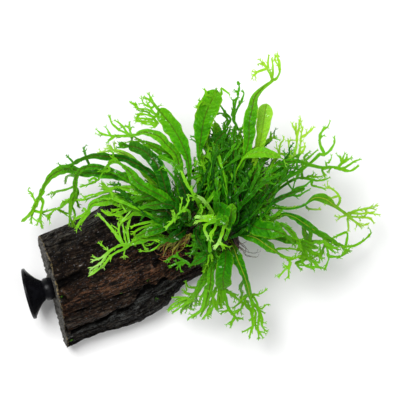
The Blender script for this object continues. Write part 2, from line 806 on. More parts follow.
@dataclass
class Rhizome:
    """The creeping stem, by pixels, which lies on the wood and carries every frond."""

    route: tuple[Pixel, ...] = (
        (174, 240), (184, 230), (196, 221), (208, 216), (219, 216), (226, 223), (227, 233), (221, 243))
    radius: float = 3.0  # mm
    gap: float = 0.3  # mm above the wood, and under a frond's foot
    end: float = 0.35  # how thick its two ends are, as a share
    steps: int = 30

    def line(self, picture: Picture, wood: BVHTree) -> np.ndarray:
        """Lays the stem on the wood.

        Args:
            picture: the view that its pixels are in.
            wood: the wood's surface, in metres.

        Returns:
            Points in mm along its middle.
        """
        line = []
        reach = (-self.radius, 0.0, self.radius)
        for pixel in curve_through(self.route, self.steps + 1):
            x, y, _ = picture.place(*pixel, picture.pixel_height)
            high = max(wood_top(wood, x + dx, y + dy) or 0.0 for dx in reach for dy in reach)
            line.append((x, y, high + self.radius + self.gap))
        return np.array(line)

    def pixel(self, share: float) -> Pixel:
        """The pixel at a share of the stem's length."""
        return tuple(curve_through(self.route, 200)[int(round(share * 199))])

    def swell(self, share: np.ndarray) -> np.ndarray:
        """How thick the stem is at shares of its length, up to 1."""
        return self.end + (1 - self.end) * np.sqrt(np.abs(np.sin(math.pi * share)))


@dataclass
class FernBuilder:
    """Builds fronds from their rows, on the rhizome."""

    picture: Picture
    rhizome: Rhizome
    stem: np.ndarray  # the rhizome's line in mm
    thickness: float = 0.75  # mm, like the next
    stipe_width: float = 1.5
    crest_width: float = 3.0  # where a blade ends in its crest
    thinnest: float = 0.3
    foot_leans: Span = (math.radians(62), math.radians(18))
    foot_share: float = 0.18  # of the blade, in which it swings from its foot onto its route
    widening: Span = (0.14, 0.44)  # shares of a blade between which its stipe widens
    narrowing: Span = (0.80, 1.0)  # and between which it narrows to its crest
    lightening: Span = (0.62, 1.0)  # and between which it gets lighter
    blade_light: float = 0.42  # how light, as a share of its crest's tips
    strays: Span = (2.5, 1.5)  # mm, how much higher or lower a strand's tip and middle may stand
    twist_waves: Span = (16.0, 7.0)  # mm, on a blade and on a strand
    blade_spacing: float = 1.3  # mm from one row of vertices to the next
    spacing: float = 1.1  # the same on a strand
    reach_back: float = 2.5  # pixels that a strand starts inside its parent
    fine_lengths: Span = (4.0, 9.0)  # pixels
    fine_widths: Span = (1.2, 1.9)  # mm
    fine_leans: Span = (0.35, 1.0)  # radians from its parent, like the next
    tooth_leans: Span = (0.5, 1.0)
    tooth_every: float = 7.0  # mm
    tooth_places: Span = (0.35, 0.92)  # shares of a strand
    tooth_sizes: Span = (1.2, 3.4)  # mm
    fork_places: Span = (0.93, 0.95)
    fork_sizes: Span = (1.0, 2.0)  # mm
    tooth_rows: int = 5

    def foot(self, share: float, number: int, toward: Pixel) -> tuple[Pixel, np.ndarray]:
        """Where a frond leaves the rhizome.

        Args:
            share: its place along the rhizome.
            number: the frond's number, which settles on which side it sits.
            toward: the pixel that it grows towards.

        Returns:
            The rhizome's pixel there and the foot's place in mm.
        """
        at = share * (len(self.stem) - 1)
        low = min(int(at), len(self.stem) - 2)
        along = self.stem[low + 1] - self.stem[low]
        root = self.stem[low] + along * (at - low)
        along = unit(along)
        outward = self.picture.place(*toward, root[2]) - root
        outward[2] = 0.0
        lean_by = self.foot_leans[number % 2]
        lean = UP * math.cos(lean_by) + unit(outward) * math.sin(lean_by)
        lean = unit(lean - along * (lean @ along))
        reach = self.rhizome.radius + self.rhizome.gap + self.thickness
        return self.rhizome.pixel(share), root + lean * reach

    def blade(self, frond: Frond, share: float, number: int, rng: random.Random) -> Grown:
        """The blade from its foot to where its crest begins.

        Args:
            frond: its row.
            share: its foot's place along the rhizome.
            number: its number.
            rng: its own chance.

        Returns:
            The pixels of its line and its ribbon.
        """
        root_pixel, foot = self.foot(share, number, frond.route[0])
        offset = foot - self.picture.place(*root_pixel, foot[2])
        route = [root_pixel, *frond.route]
        length = length_of(route) * self.picture.pixel
        count = max(24, int(length / self.blade_spacing))
        pixels = curve_through(route, count)
        s = np.linspace(0.0, 1.0, count)
        middle, hub, _ = frond.heights
        heights = foot[2] * (1 - s) * (1 - 2 * s) + middle * 4 * s * (1 - s) + hub * s * (2 * s - 1)
        line = self.picture.places(pixels, heights) + offset * (1 - ease(0.0, self.foot_share, s))[:, None]
        if frond.widths:
            widths = smoothed(np.interp(s, *zip(*frond.widths)), 3)
        else:
            end = self.crest_width if frond.crest and not frond.blunt else frond.width * 0.9
            full = frond.width - (frond.width - end) * ease(*self.narrowing, s)
            widths = self.stipe_width + (full - self.stipe_width) * ease(*self.widening, s)
        rounding = np.sqrt(np.clip((1 - s) * length / (0.45 * max(widths[-1], 2.0)), 0.0, 1.0))
        widths = np.maximum(widths * rounding, 0.25)
        turn = rng.uniform(-1, 1) * frond.twist
        ripple = wander(rng, s * length, self.twist_waves[0])
        twist = turn * np.sin(math.pi * s) + 0.5 * frond.twist * ripple
        tip = self.blade_light * frond.light * ease(*self.lightening, s)
        return pixels, Ribbon(
            line, widths, tip, tone=frond.shift, rib=frond.rib, stipe=True, ruffle=0.085 * frond.width + 0.40,
            fold=0.22, twist=twist, columns=9 if frond.width > 7 else 7 if frond.width > 3 else 5)

    def strand(self, part: Strand, parents: list[Grown], frond: Frond, rng: random.Random) -> Grown:
        """One strand, which starts inside the nearest part of what is already there.

        Args:
            part: its row.
            parents: what it may start from.
            frond: the frond's row.
            rng: the frond's own chance.

        Returns:
            The strand's pixels and its ribbon.
        """
        start = np.array(part.pixels[0])
        pixels, parent = min(parents, key=lambda p: np.min(np.linalg.norm(p[0] - start, axis=1)))
        at = int(np.argmin(np.linalg.norm(pixels - start, axis=1)))
        step = max(np.linalg.norm(np.diff(pixels, axis=0), axis=1).mean(), 0.1)
        back = max(at - int(round(self.reach_back / step)), 0)
        height = parent.line[at, 2]
        route = [tuple(pixels[back]), tuple(pixels[at]), *part.pixels[1:]]
        if np.linalg.norm(pixels[at] - start) > self.reach_back:
            route.insert(2, part.pixels[0])
        if back == at:
            route = route[1:]
        length = length_of(route) * self.picture.pixel
        count = max(7, int(length / self.spacing))
        points = curve_through(route, count)
        s = np.linspace(0.0, 1.0, count)
        at_tip, at_middle = self.strays
        goal = frond.heights[2] + part.lift + rng.uniform(-at_tip, at_tip)
        bow = rng.uniform(-at_middle, at_middle)
        heights = height + (goal - height) * s ** 1.3 + bow * np.sin(math.pi * s)
        line = self.picture.places(points, heights)
        run = s * length
        left = (1 - s) * length
        if part.blunt:
            widths = part.width * (0.45 + 0.55 * ease(0.0, 0.4, s))
            widths *= np.sqrt(np.clip(left / (0.5 * part.width), 0.0, 1.0))
        else:
            widths = part.width * (1 - 0.50 * s) * (1 + 0.22 * wander(rng, run, 4.0))
            widths *= np.clip(left / 2.2, 0.0, 1.0) ** 0.7
        widths = np.maximum(widths, self.thinnest)
        first = float(parent.tip[at])
        tip = first + (frond.light + part.milk - first) * ease(0.0, 1.0, s)
        twist = 0.45 * wander(rng, run, self.twist_waves[1])
        ribbon = Ribbon(line, widths, tip, tone=frond.shift + part.shift + rng.uniform(-0.15, 0.15),
                        rib=frond.rib * 0.6 if part.width > 3 else 0.0, ruffle=0.12 * part.width, fold=0.30,
                        twist=twist, thickness=0.5, columns=5 if part.width < 4 else 7)
        return points, ribbon

    def fine_strand(self, grown: list[Grown], rng: random.Random) -> Strand:
        """A short thin strand that forks off one of those already grown.

        Args:
            grown: the frond's strands so far.
            rng: the frond's own chance.

        Returns:
            Its row.
        """
        pixels = rng.choice(grown)[0]
        at = rng.randint(len(pixels) // 3, len(pixels) - 2)
        ahead = pixels[at + 1] - pixels[at]
        lean = math.atan2(ahead[1], ahead[0]) + rng.choice((-1, 1)) * rng.uniform(*self.fine_leans)
        size = rng.uniform(*self.fine_lengths)
        bend = rng.uniform(-0.5, 0.5)
        route = bent_route(tuple(pixels[at]), lean, size, (0.0, bend, bend))
        return Strand(route, rng.uniform(*self.fine_widths))

    def teeth(self, ribbon: Ribbon, rng: random.Random) -> list[Ribbon]:
        """Small spurs along a strand and a fork at its tip, as the crested form has.

        Args:
            ribbon: the strand.
            rng: the frond's own chance.

        Returns:
            Their ribbons, with the fork's two last.
        """
        run = ribbon.run()
        made = []
        wanted = max(1, int(run[-1] / self.tooth_every))
        spots = [*(rng.uniform(*self.tooth_places) for _ in range(wanted)), *self.fork_places]
        for n, spot in enumerate(spots):
            at = min(int(spot * (len(run) - 1)), len(run) - 2)
            ahead = unit(ribbon.line[at + 1] - ribbon.line[at])
            side = unit(np.cross(ahead, UP)) * (1 if n % 2 else -1)
            lean = rng.uniform(*self.tooth_leans)
            way = ahead * math.cos(lean) + side * math.sin(lean) + UP * rng.uniform(-0.35, 0.35)
            size = rng.uniform(*(self.tooth_sizes if n < wanted else self.fork_sizes))
            start = ribbon.line[at]
            end = start + way * size + ahead * size * 0.35
            line = curve_through([start, start + way * size * 0.55, end], self.tooth_rows)
            widths = np.linspace(min(1.1, ribbon.widths[at]), 0.28, self.tooth_rows)
            tips = np.full(self.tooth_rows, ribbon.tip[at] + 0.1)
            made.append(Ribbon(line, widths, tips, tone=ribbon.tone, thickness=0.4, columns=3))
        return made

    def build(self, name: str, frond: Frond, share: float, number: int) -> bpy.types.Mesh:
        """One frond's mesh.

        Args:
            name: the piece's name.
            frond: its row.
            share: its foot's place along the rhizome.
            number: its number.

        Returns:
            The mesh in metres.
        """
        rng = random.Random(number * 101 + 7)
        leaves = LeafMesh(rng)
        self.grow(leaves, frond, share, number, rng)
        return leaves.mesh(name, frond.tone.value.material())

    def sprout(self, leaves: LeafMesh, part: Strand, parents: list[Grown], frond: Frond, rng: random.Random,
               spurs: bool = False) -> Grown:
        """Adds one strand, with the fork at its tip, to a mesh.

        Args:
            leaves: the mesh.
            part: its row.
            parents: what it may start from.
            frond: the frond's row.
            rng: the frond's own chance.
            spurs: whether it has teeth all along.

        Returns:
            The strand's pixels and its ribbon.
        """
        made = self.strand(part, parents, frond, rng)
        leaves.add(made[1])
        if not part.blunt:
            for tooth in self.teeth(made[1], rng)[0 if spurs else -2:]:
                leaves.add(tooth)
        return made

    def grow(self, leaves: LeafMesh, frond: Frond, share: float, number: int, rng: random.Random) -> None:
        """Adds one frond, with its crest, to a mesh.

        Args:
            leaves: the mesh.
            frond: its row.
            share: its foot's place along the rhizome.
            number: its number.
            rng: its own chance.
        """
        blade = self.blade(frond, share, number, rng)
        leaves.add(blade[1])
        parents = [self.tail(*blade, len(blade[0]) // 4)]
        for part in frond.crest:
            parents.append(self.sprout(leaves, part, parents, frond, rng, spurs=True))
        grown = parents[1:]
        for _ in range(int(frond.fine * len(grown))):
            self.sprout(leaves, self.fine_strand(grown, rng), grown, frond, rng)

    @staticmethod
    def tail(pixels: np.ndarray, ribbon: Ribbon, start: int) -> Grown:
        """A blade from one of its points on, for strands to start from."""
        return pixels[start:], Ribbon(ribbon.line[start:], ribbon.widths[start:], ribbon.tip[start:])


SLENDER = [(0, 1.3), (0.55, 1.5), (0.85, 2.3), (1, 2.4)]  # a blade that is hardly wider than its stipe

FRONDS = [  # in the order of their feet along the rhizome
    # to the left, over the wood and past its edge
    Frond([(168, 237), (153, 236), (140, 239.5), (131, 244)], (81, 83, 76), 6.0, Tone.LIGHT, fine=0.15,
          shift=-0.2, crest=[
        strand(131, 243, 123, 244.5, 117, 246.5, 112, 249.5, 107, 253, 100, 258.5, 95, 260, 90, 262.5, w=2.2,
               milk=0.9),
        strand(132, 246, 124, 249, 118, 251.5, 111, 256, 106, 262, 100, 268, 94, 272.5, 88, 276.5, w=2.4,
               milk=0.4),
        strand(109, 252, 105, 257, 100.5, 263, 95, 266.5, 89, 270, w=2.0, milk=0.9),
        strand(107, 254, 104, 260, 98, 265, 93, 271, 89, 275, w=1.8, milk=0.6),
        strand(109, 256, 106.5, 262, 103, 268.5, w=1.7, milk=0.5),
        strand(101, 258, 96, 258.5, 93.5, 256.5, w=1.5, milk=0.4), strand(98, 268, 92, 270.5, w=1.4),
        strand(109, 251, 104, 247, 101, 244.5, 98, 242, w=1.5), strand(101.5, 245, 101.5, 241.5, w=1.2),
        strand(126, 245, 124.8, 250, 123.8, 255, 122.8, 258, w=1.8, lift=2, milk=0.2),
        strand(124, 254, 126, 257.5, w=1.3),
        strand(124, 246, 117, 236, 110, 227, 101, 217, 97, 212.5, w=3.0, milk=0.2),
        strand(99, 215, 95.5, 215.5, w=1.4), strand(119, 231, 114, 226.5, 110.5, 225, w=1.3, shift=-0.6),
        strand(123, 243, 120, 236, 118.8, 230, 119.5, 225, 123, 220, 128, 214, 133, 209, 140, 206, 147, 202,
               w=1.7, lift=3, milk=0.8),
        strand(129.5, 243, 128, 236, 127.5, 229, 129.5, 221, 132, 214, 134.5, 210.5, w=2.4, lift=2, milk=0.2),
        strand(127, 243, 124.5, 236, 126, 229, 129, 221, w=1.2, shift=-0.5),
        strand(126, 236, 123.5, 228, 121.5, 222, 119.5, 216, w=1.7, shift=-0.3),
        strand(121.5, 222, 117, 218.5, w=1.2, shift=-0.3), strand(122, 221, 122.8, 216, w=1.2, shift=-0.3),
        strand(133, 211, 140, 209.5, 150, 208, 157, 206.5, w=1.5),
        strand(162, 240, 158, 246, 152, 250, 146, 251.5, 138, 249.5, w=1.7, shift=-0.4),
        strand(141, 241, 144, 246.5, 148.5, 251, w=1.8, shift=-0.3),
        strand(157, 236, 153, 243, 147, 245.5, 142, 242, w=1.5, shift=-0.6),
        strand(136, 241, 135.5, 246.5, w=1.4)]),
    Frond([(164, 224), (148, 211), (134, 207), (122, 206)], (82, 79, 75), 4.0, Tone.MID, crest=[
        strand(134, 208, 125, 211, 119, 213.5, 111, 214.5, 105, 212.5, 100.5, 209, w=3.4),
        strand(122, 206, 114, 204, 107, 199), strand(124, 207, 118, 209.5, 111, 210),
        strand(131, 208, 126, 203, 118, 200.5, 106.5, 199)]),
    Frond([(164, 217), (140, 200), (118, 198), (104, 201), (92, 204), (88, 212)], (78, 76, 66), 8.4,
          Tone.LIGHT, shift=0.5, crest=[
        strand(88, 212, 83, 218, 78, 225, 76, 229, w=3.6),
        strand(90, 210, 84, 214, 78, 217.5, 73, 220.5, w=3), strand(86, 217, 82, 222, 76.5, 227),
        strand(84, 208, 82, 212), strand(110, 192, 102, 193.5, 92, 197.5, 81.5, 200, 71.5, 198.5, 64, 201)]),
    Frond([(166, 211), (150, 196), (134, 190), (120, 187)], (91, 89, 82), 7.2, Tone.LIGHT, shift=0.7, crest=[
        strand(120, 187, 114, 188, 108, 188, 103, 184, 101, 181), strand(114, 188, 107, 188.5, 99, 185.5),
        strand(118, 187, 112, 184.5, 107, 185),
        strand(116, 189, 109.5, 190.5, 105, 191.5, 96.5, 194, 89, 195.5, 82.5, 199.5),
        strand(103, 184, 106.5, 188, 113, 194, 118, 199, 123, 207, 126.5, 213)]),
    Frond([(160, 214), (130, 181), (104, 168), (84, 168), (76, 178), (75, 192), (72, 206)], (99, 68, 49), 4.0,
          Tone.MID, shift=-0.35, crest=[
        strand(74, 190, 71, 198, 70.5, 208, 70, 217, 69, 226.5, w=3), strand(70, 216, 72, 222, 72.7, 228),
        strand(76, 185, 78, 192, 76.5, 199, 79.5, 208.5, w=2.8), strand(72, 206, 75, 214, 73, 222, 76, 228),
        strand(74, 186, 66.5, 189.5, 55, 192, 46, 195.5),
        strand(72, 200, 66, 203, 60, 208, 55, 209.5, 49, 216, 47.5, 221),
        strand(57, 208.5, 64, 212.5, 71, 214), strand(77, 176, 68, 176, 64.5, 184.5, w=3.2),
        strand(60, 207.5, 63.5, 200), strand(49, 216, 47, 217.5, 46, 215.5)]),
    Frond([(165, 214), (140, 184), (112, 175), (85, 173), (66, 169), (50, 177), (42, 191)], (87, 58, 44), 7.2,
          Tone.MID, light=1.3, crest=[
        strand(42, 191, 36, 204, 30, 214, 21, 222, w=4.2),
        strand(40, 196, 43, 202.5, 41, 213, 41.5, 226, 43.5, 229, w=2.8), strand(36, 206, 32, 216, 30.5, 224),
        strand(41, 213, 39, 220, 36, 226), strand(36, 203, 31, 193, 28.5, 191.5, 28.5, 188.5, 30.5, 187.5),
        strand(36, 211, 42, 212.5, 51, 210, 56, 208)]),
    Frond([(169, 202), (146, 188), (136, 181), (130, 172), (122, 165)], (105, 103, 104), 7.4, Tone.MID,
          light=0.55, shift=0.2, crest=[
        strand(122, 165, 116, 161, 113, 157, 113.5, 152),
        strand(118, 164, 111, 163, 106, 167, 102, 174, 97, 180.5, 88, 184.5, 79, 187),
        strand(113, 160, 109, 162, 108, 166), strand(110, 170, 104, 171, 98.5, 170.5),
        strand(97, 180, 94, 178, 88, 181)]),
    Frond([(168, 200), (150, 178), (134, 161), (124, 154), (113, 150)], (78, 71, 67), 6.0, Tone.PALE, crest=[
        strand(113, 150, 109, 148.5, 104, 149.3), strand(116, 150, 114, 145, 116, 142),
        strand(113, 149, 110, 146, 106.5, 146), strand(113, 150, 104, 152, 97, 153)]),
    Frond([(174, 198), (150, 173), (128, 160), (111, 157), (93, 156), (80, 160)], (93, 92, 80), 5.5,
          Tone.DARK, shift=-0.5, light=0.7, crest=[
        strand(80, 160, 72, 165, 70, 172, w=3.6), strand(85, 156, 84, 150, 83, 146.5),
        strand(72, 161, 69, 158, 66, 154.5), strand(86, 158, 88.5, 163, 91, 168, 99, 170),
        strand(74, 163, 66, 166, 60, 166)]),
    Frond([(170, 201), (160, 170), (148, 154), (138, 148), (128, 146)], (101, 88, 88), 9.0, Tone.DARK,
          blunt=True, shift=-0.6, light=0.7, crest=[
        strand(128, 146, 123, 145, 118, 144, w=4.5, blunt=True), strand(124, 148, 120, 144, 119.5, 141.5)]),
    Frond([(185, 214), (180, 215), (174, 217)], (85, 92, 92), 5.0, Tone.LIGHT, fine=0.0, shift=0.3, crest=[
        strand(180, 214, 174, 220, 170, 224, 165, 228, w=2.4, lift=4, milk=0.2),
        strand(180, 213, 181.5, 206, 182, 198, w=2.0), strand(183, 211, 187, 203, 186.8, 195, w=2.2),
        strand(174, 219, 172.5, 214, 172, 210, w=1.8, lift=8)]),
    Frond([(182, 232), (174, 237), (167, 240)], (84, 82, 80), 7.5, Tone.DEEP, crest=[
        strand(167, 240, 161, 243, w=3), strand(167, 240, 158, 238, w=2.6)]),
    Frond([(188, 196), (174, 160), (160, 150), (150, 145), (141, 141)], (76, 73, 69), 6.5, Tone.MID, crest=[
        strand(141, 141, 136, 138, 134, 136), strand(141, 141, 135, 142, 130, 141),
        strand(153, 146, 147.5, 151, 145, 154), strand(147.5, 151, 144, 152.5),
        strand(139.6, 139, 143.7, 143.3, 148, 148, 146, 153)]),
    Frond([(180, 197), (178, 160), (166, 144), (158, 136), (144, 132), (136, 135)], (87, 87, 77), 7.5,
          Tone.LIGHT, shift=-0.35, crest=[
        strand(134, 135.5, 125, 136, 115, 136, 108.5, 135.5, 99.5, 133, w=2.6),
        strand(115, 136, 109.5, 140, 106, 144), strand(111, 135.5, 108, 130.5, 105, 126),
        strand(132.5, 135, 125, 132.5, 118.5, 129.5, 112, 123.5, 110, 118, 108.7, 114),
        strand(129, 132.5, 121, 124.5, 114, 120), strand(132, 135, 129.5, 128.5, 129.5, 121),
        strand(129.5, 127, 125.5, 126, 124.5, 125), strand(131.5, 136, 132, 141, 131.5, 145.7)]),
    # upright
    Frond([(192, 209), (184, 190), (174, 178)], (103, 107, 105), 4.5, Tone.DARK, crest=[
        strand(184, 180, 178, 167.5, 168, 160.5, 158, 155.5, w=3.4, blunt=True),
        strand(174, 178, 168, 171, 163, 166), strand(176, 176, 175, 168, 173, 162)]),
    Frond([(190, 202), (189, 165), (182, 144), (173, 128), (163, 115), (158, 109)], (96, 99, 93), 13.5,
          Tone.MID, fine=1.3, widths=[(0, 1.5), (0.3, 2.2), (0.45, 4.2), (0.55, 6.6), (0.65, 11.2),
          (0.73, 11.5), (0.81, 13.2), (0.93, 11.4), (1, 9)], blunt=True, shift=0.9, crest=[
        strand(158, 109, 155, 105.5, 151, 99, 148.5, 92, w=2.3), strand(153, 105.5, 148, 99, 143, 96, w=2.0),
        strand(152, 107.5, 144, 104, 140.5, 95.5, w=2.0),
        strand(157, 114.5, 147, 109.5, 138, 108.5, 134, 105, 129, 101, w=2.3),
        strand(139, 108.5, 136, 104, 135, 102, w=1.3),
        strand(155.5, 117, 147, 115, 141.5, 114, 135, 114.5, w=2.3),
        strand(153, 119.5, 144, 118.5, 139, 118.5, 133.5, 117, w=2.0),
        strand(158, 123.5, 150.5, 122, 144, 121.5, 138, 119.5, w=2.3),
        strand(157, 125.5, 148, 124.5, 140.5, 121.5, 135, 119.5, w=2.0),
        strand(159.5, 124, 154.5, 127, 150.5, 128, w=1.5), strand(158, 107, 162, 104.5, w=1.3),
        strand(156, 112, 150, 107, 146, 101, w=2.0), strand(154, 118, 147, 112, 140, 111, 136, 109, w=1.8)]),
    Frond([(202, 210), (198, 200), (192, 192)], (96, 114, 114), 4.5, Tone.LIGHT, fine=0.0, shift=0.3,
          rib=-0.4, crest=[
        strand(212, 214, 208, 206, 203, 200, 197, 195, w=4.2, milk=0.8),
        strand(194, 193, 188, 186, 185, 180, 182, 173, 180, 170, w=2.6), strand(195, 196, 189, 195.5),
        strand(198, 200, 194, 199, 191.8, 200.3, w=3), strand(193, 190, 191.8, 185.5),
        strand(200, 203, 202.3, 210, 200, 214.5)]),
    Frond([(208, 196), (208, 170), (207, 152)], (78, 85, 80), 5.0, Tone.DEEP, crest=[
        strand(207, 152, 204, 146, 201, 141), strand(207, 152, 207, 144, 207, 137),
        strand(208, 154, 212, 148, 214, 143)]),
    Frond([(203, 192), (199, 158), (201, 138), (204, 120), (209, 106), (214, 96), (217, 89.5)],
          (104, 121, 127), 16.5, Tone.MID, widths=[(0, 1.5), (0.28, 1.8), (0.46, 2.4), (0.53, 4.6),
          (0.61, 9.2), (0.69, 13.4), (0.78, 15.6), (0.9, 15.2), (1, 12.5)], blunt=True, fine=0.0, shift=0.3,
          crest=[
        strand(206, 94, 206, 92, 204, 88.5), strand(215, 95, 215, 93, 216.5, 87.5),
        strand(221, 95, 222, 93, 221, 88, 225.5, 91, 230.5, 95), strand(201, 102, 198, 99),
        strand(197, 108, 196, 104.5)]),
    Frond([(216, 185), (215, 155), (219, 140), (224, 131)], (90, 91, 91), 8.5, Tone.DARK, crest=[
        strand(224, 131, 228, 123, 226, 117, 222, 113.5, 216.5, 113.5),
        strand(229, 122, 230.5, 119, 226, 113.5, 221.5, 107, 219, 103), strand(222, 130, 224.5, 121.5)]),
    Frond([(217, 186), (224, 168), (226, 152)], (83, 87, 81), 4.5, Tone.DEEP, crest=[
        strand(226, 152, 224, 146, 221, 140), strand(226, 152, 228, 145, 228, 137)]),
    Frond([(218, 208), (225, 212), (217, 226)], (106, 114, 110), 9.0, Tone.MID, light=0.5, fine=0.3,
          shift=-2.2, rib=0.3, crest=[
        strand(226, 219, 213.5, 218, 208, 217, 194, 217, w=4.0, milk=1.1, shift=2.6),
        strand(222, 220, 212, 220.5, 201.5, 220.5, 194, 222, w=3.0, milk=0.9, shift=2.4),
        strand(218, 221, 209.5, 223, 205, 226.5, 204.5, 230.5, 208, 238, 207, 241, w=2.8, milk=1.1,
               shift=2.4),
        strand(221, 221, 216.5, 223, 215, 228.5, 210.5, 234.5, 212, 242, w=2.8, milk=0.8, shift=2.2),
        strand(225.5, 220.5, 223.5, 229, 221, 236, 219, 242.5, 213.5, 249.5, w=3.6, milk=1.5, shift=2.4,
               lift=3),
        strand(221, 244, 230.5, 247.5), strand(221, 244, 223.5, 249.5), strand(226, 227, 229.5, 230.5)]),
    Frond([(226, 182), (234, 152), (234, 136), (236, 125)], (98, 100, 96), 4.5, Tone.DARK, crest=[
        strand(236, 125, 233.7, 120.5, 234.7, 111.5, 235.7, 101, 237.8, 97, 237.8, 93, 239.3, 88, 237.8, 81),
        strand(236, 82, 237.8, 85, 239.8, 83), strand(231.6, 115.5, 233.7, 105.5, 232.7, 99),
        strand(235.7, 115.5, 238.8, 105.5, 241.8, 100, 243.9, 93, 240.8, 90),
        strand(237.8, 93, 235.7, 91, 233.7, 89.5), strand(234.7, 132, 235.7, 137, 233.7, 142),
        strand(236.7, 124.7, 238.8, 130, 243.9, 125.7)]),
    Frond([(230, 189), (242, 174), (247, 160)], (76, 80, 73), 4.5, Tone.DEEP, crest=[
        strand(247, 160, 245, 155, 243, 150), strand(247, 160, 249, 154, 250, 148),
        strand(248, 161, 253, 157, 256, 154)]),
    Frond([(227, 214), (231, 220), (225, 241)], (102, 109, 101), 3.0, Tone.MID, light=0.4, shift=-0.8, crest=[
        strand(229.5, 223, 231.5, 213, 233, 203.5, w=7.6, blunt=True, lift=8, shift=0.5)]),
    Frond([(236, 178), (248, 144), (249, 125), (252, 110), (255, 97), (264, 87), (272, 81), (271, 75)],
          (112, 113, 108), 9.0, Tone.RIPE, widths=[(0, 1.5), (0.35, 2.5), (0.5, 6.5), (0.58, 9.4),
          (0.64, 10.2), (0.7, 9.6), (0.76, 7.2), (0.82, 5.0), (0.88, 3.4), (0.93, 2.5), (1, 2.3)], shift=0.8,
          crest=[
        strand(273.5, 79, 270.5, 73.5, 266.3, 67.5, 262.2, 62.5, 258.2, 58.5, w=2.8),
        strand(266.3, 70.5, 260, 71, 256, 72.5, 251.5, 71), strand(256, 72.5, 254.6, 76.7),
        strand(269.4, 69.6, 268, 62.5, 269, 54.3), strand(274, 78, 273, 68.5, 272.4, 61.5, 272, 57),
        strand(276, 79, 279.6, 72.5, 279, 66.5, 275, 60.5, 275.5, 53.3),
        strand(279.6, 67.5, 279, 61.5, 277.6, 57.5, 280, 56), strand(262.2, 62.5, 260.2, 65)]),
    Frond([(232, 190), (236, 172), (244, 158), (253, 153.5), (264, 152.5), (274, 155), (281, 158)],
          (106, 103, 94), 7.0, Tone.LIGHT, light=1.3, fine=0.0, twist=0.15, shift=1.4, rib=-0.3,
          widths=[(0, 1.2), (0.6, 1.2), (0.64, 2.4), (0.72, 6.6), (0.8, 8.0), (0.88, 7.2), (0.95, 4.2),
          (1, 1.8)], crest=[
        strand(281, 158, 284, 160, 286, 168, w=1.2, shift=-2.0)]),
    Frond([(239, 185), (252, 160), (260, 147)], (85, 86, 86), 4.0, Tone.MID, widths=SLENDER, shift=-0.3,
          crest=[
        strand(258, 147, 266, 142.5, 271, 139, 275, 136), strand(270, 140, 270.5, 136.5, 272, 133),
        strand(273, 138, 277, 137)]),
    Frond([(242, 192), (255, 160), (260.5, 140), (263.5, 122), (266.5, 103.5)], (98, 100, 100), 10.0,
          Tone.PALE, widths=[(0, 1.5), (0.4, 2.5), (0.58, 5), (0.7, 8.8), (0.8, 11.0), (0.9, 11.2), (1, 9.6)],
          blunt=True, light=0.9, shift=1.9, rib=0.35, crest=[]),
    # to the upper right
    Frond([(244, 202), (256, 190), (266, 180)], (108, 110, 108), 3.0, Tone.DARK, light=0.5, crest=[
        strand(266, 180, 270, 173, 272, 168), strand(266, 180, 274, 177, 280, 174),
        strand(267, 181, 273, 184, 276, 184)]),
    Frond([(248, 198), (266, 172), (279, 155)], (80, 82, 82), 4.5, Tone.RIPE, widths=SLENDER, shift=-0.5,
          crest=[
        strand(281, 155, 279.5, 148, 281, 143, 283.5, 140, 283.7, 136, w=2.2),
        strand(292.5, 155, 290, 150, 288.7, 148, 289, 141.5, 288.3, 138.3, w=1.8),
        strand(289, 141.5, 291.3, 138.7, w=1.4), strand(279, 155, 277, 148, 276, 141, w=1.5)]),
    Frond([(250, 198), (272, 170), (294, 161), (309, 165), (324, 168)], (96, 86, 80), 5.5, Tone.MID,
          shift=-0.4, widths=[(0, 1.3), (0.5, 1.9), (0.6, 4.0), (0.7, 4.6), (0.78, 3.0), (1, 2.3)], crest=[
        strand(324, 168, 331.5, 167, 339, 168.5, 349, 171, 353.7, 169.3, 359.5, 164.7, w=2.8),
        strand(337.6, 167, 341.5, 163, 343, 158, 345.3, 152.4), strand(341.5, 163, 346.8, 158.6, 346.8, 154),
        strand(340.7, 165.4, 346, 161, 352.2, 157), strand(342.2, 167.7, 350.6, 164, 355.2, 161, 362, 159),
        strand(331, 168, 327, 173), strand(322.3, 170.8, 324, 174, 325.4, 177),
        strand(340.5, 162, 340.3, 155.5), strand(326.2, 163, 329.2, 163, 329.6, 159.3)]),
    Frond([(252, 202), (274, 178), (291, 158)], (88, 92, 96), 5.0, Tone.RIPE, widths=SLENDER, shift=-0.4,
          crest=[
        strand(294, 155.5, 295.6, 151, 296.7, 143.5, 297, 138, 295.6, 130, 294, 125.7, w=2.2),
        strand(297, 137, 298.6, 130, 299.4, 119), strand(296.3, 132, 296, 122.6),
        strand(298.2, 158, 300, 146.5, 301, 138.7, 301.7, 131, 303.2, 125.7, w=2.0),
        strand(301.7, 137, 305.5, 135, 307, 132), strand(307, 135, 314.7, 126.4),
        strand(301, 155.5, 304, 149.5, 304.7, 142.5)]),
    Frond([(256, 204), (282, 182), (304, 168), (320, 154)], (83, 76, 74), 5.0, Tone.LIGHT, shift=-0.6,
          widths=[(0, 1.3), (0.45, 1.6), (0.7, 2.6), (1, 2.6)], crest=[
        strand(324.6, 154.7, 321.6, 148.6, 319.7, 141.7, 320, 134.8, 324, 128.7, 323.5, 125.3, w=2.8),
        strand(324, 128.7, 328.5, 127.2), strand(324.6, 154.7, 330.7, 149.4, 334.6, 142.5, 334.2, 135.6),
        strand(304, 158, 307.8, 154.7), strand(306.3, 161, 314.7, 152.4, 318.5, 149.4)]),
    Frond([(258, 208), (282, 187), (298, 178), (314, 180)], (74, 68, 64), 4.5, Tone.MID, shift=-0.3,
          widths=[(0, 1.3), (0.5, 1.7), (0.75, 2.2), (1, 2.0)], fine=0.4, crest=[
        strand(307.8, 176, 314.7, 177, 323, 176.5),
        strand(311.6, 179.2, 317.7, 180.7, 325.4, 179.2, 330.7, 177),
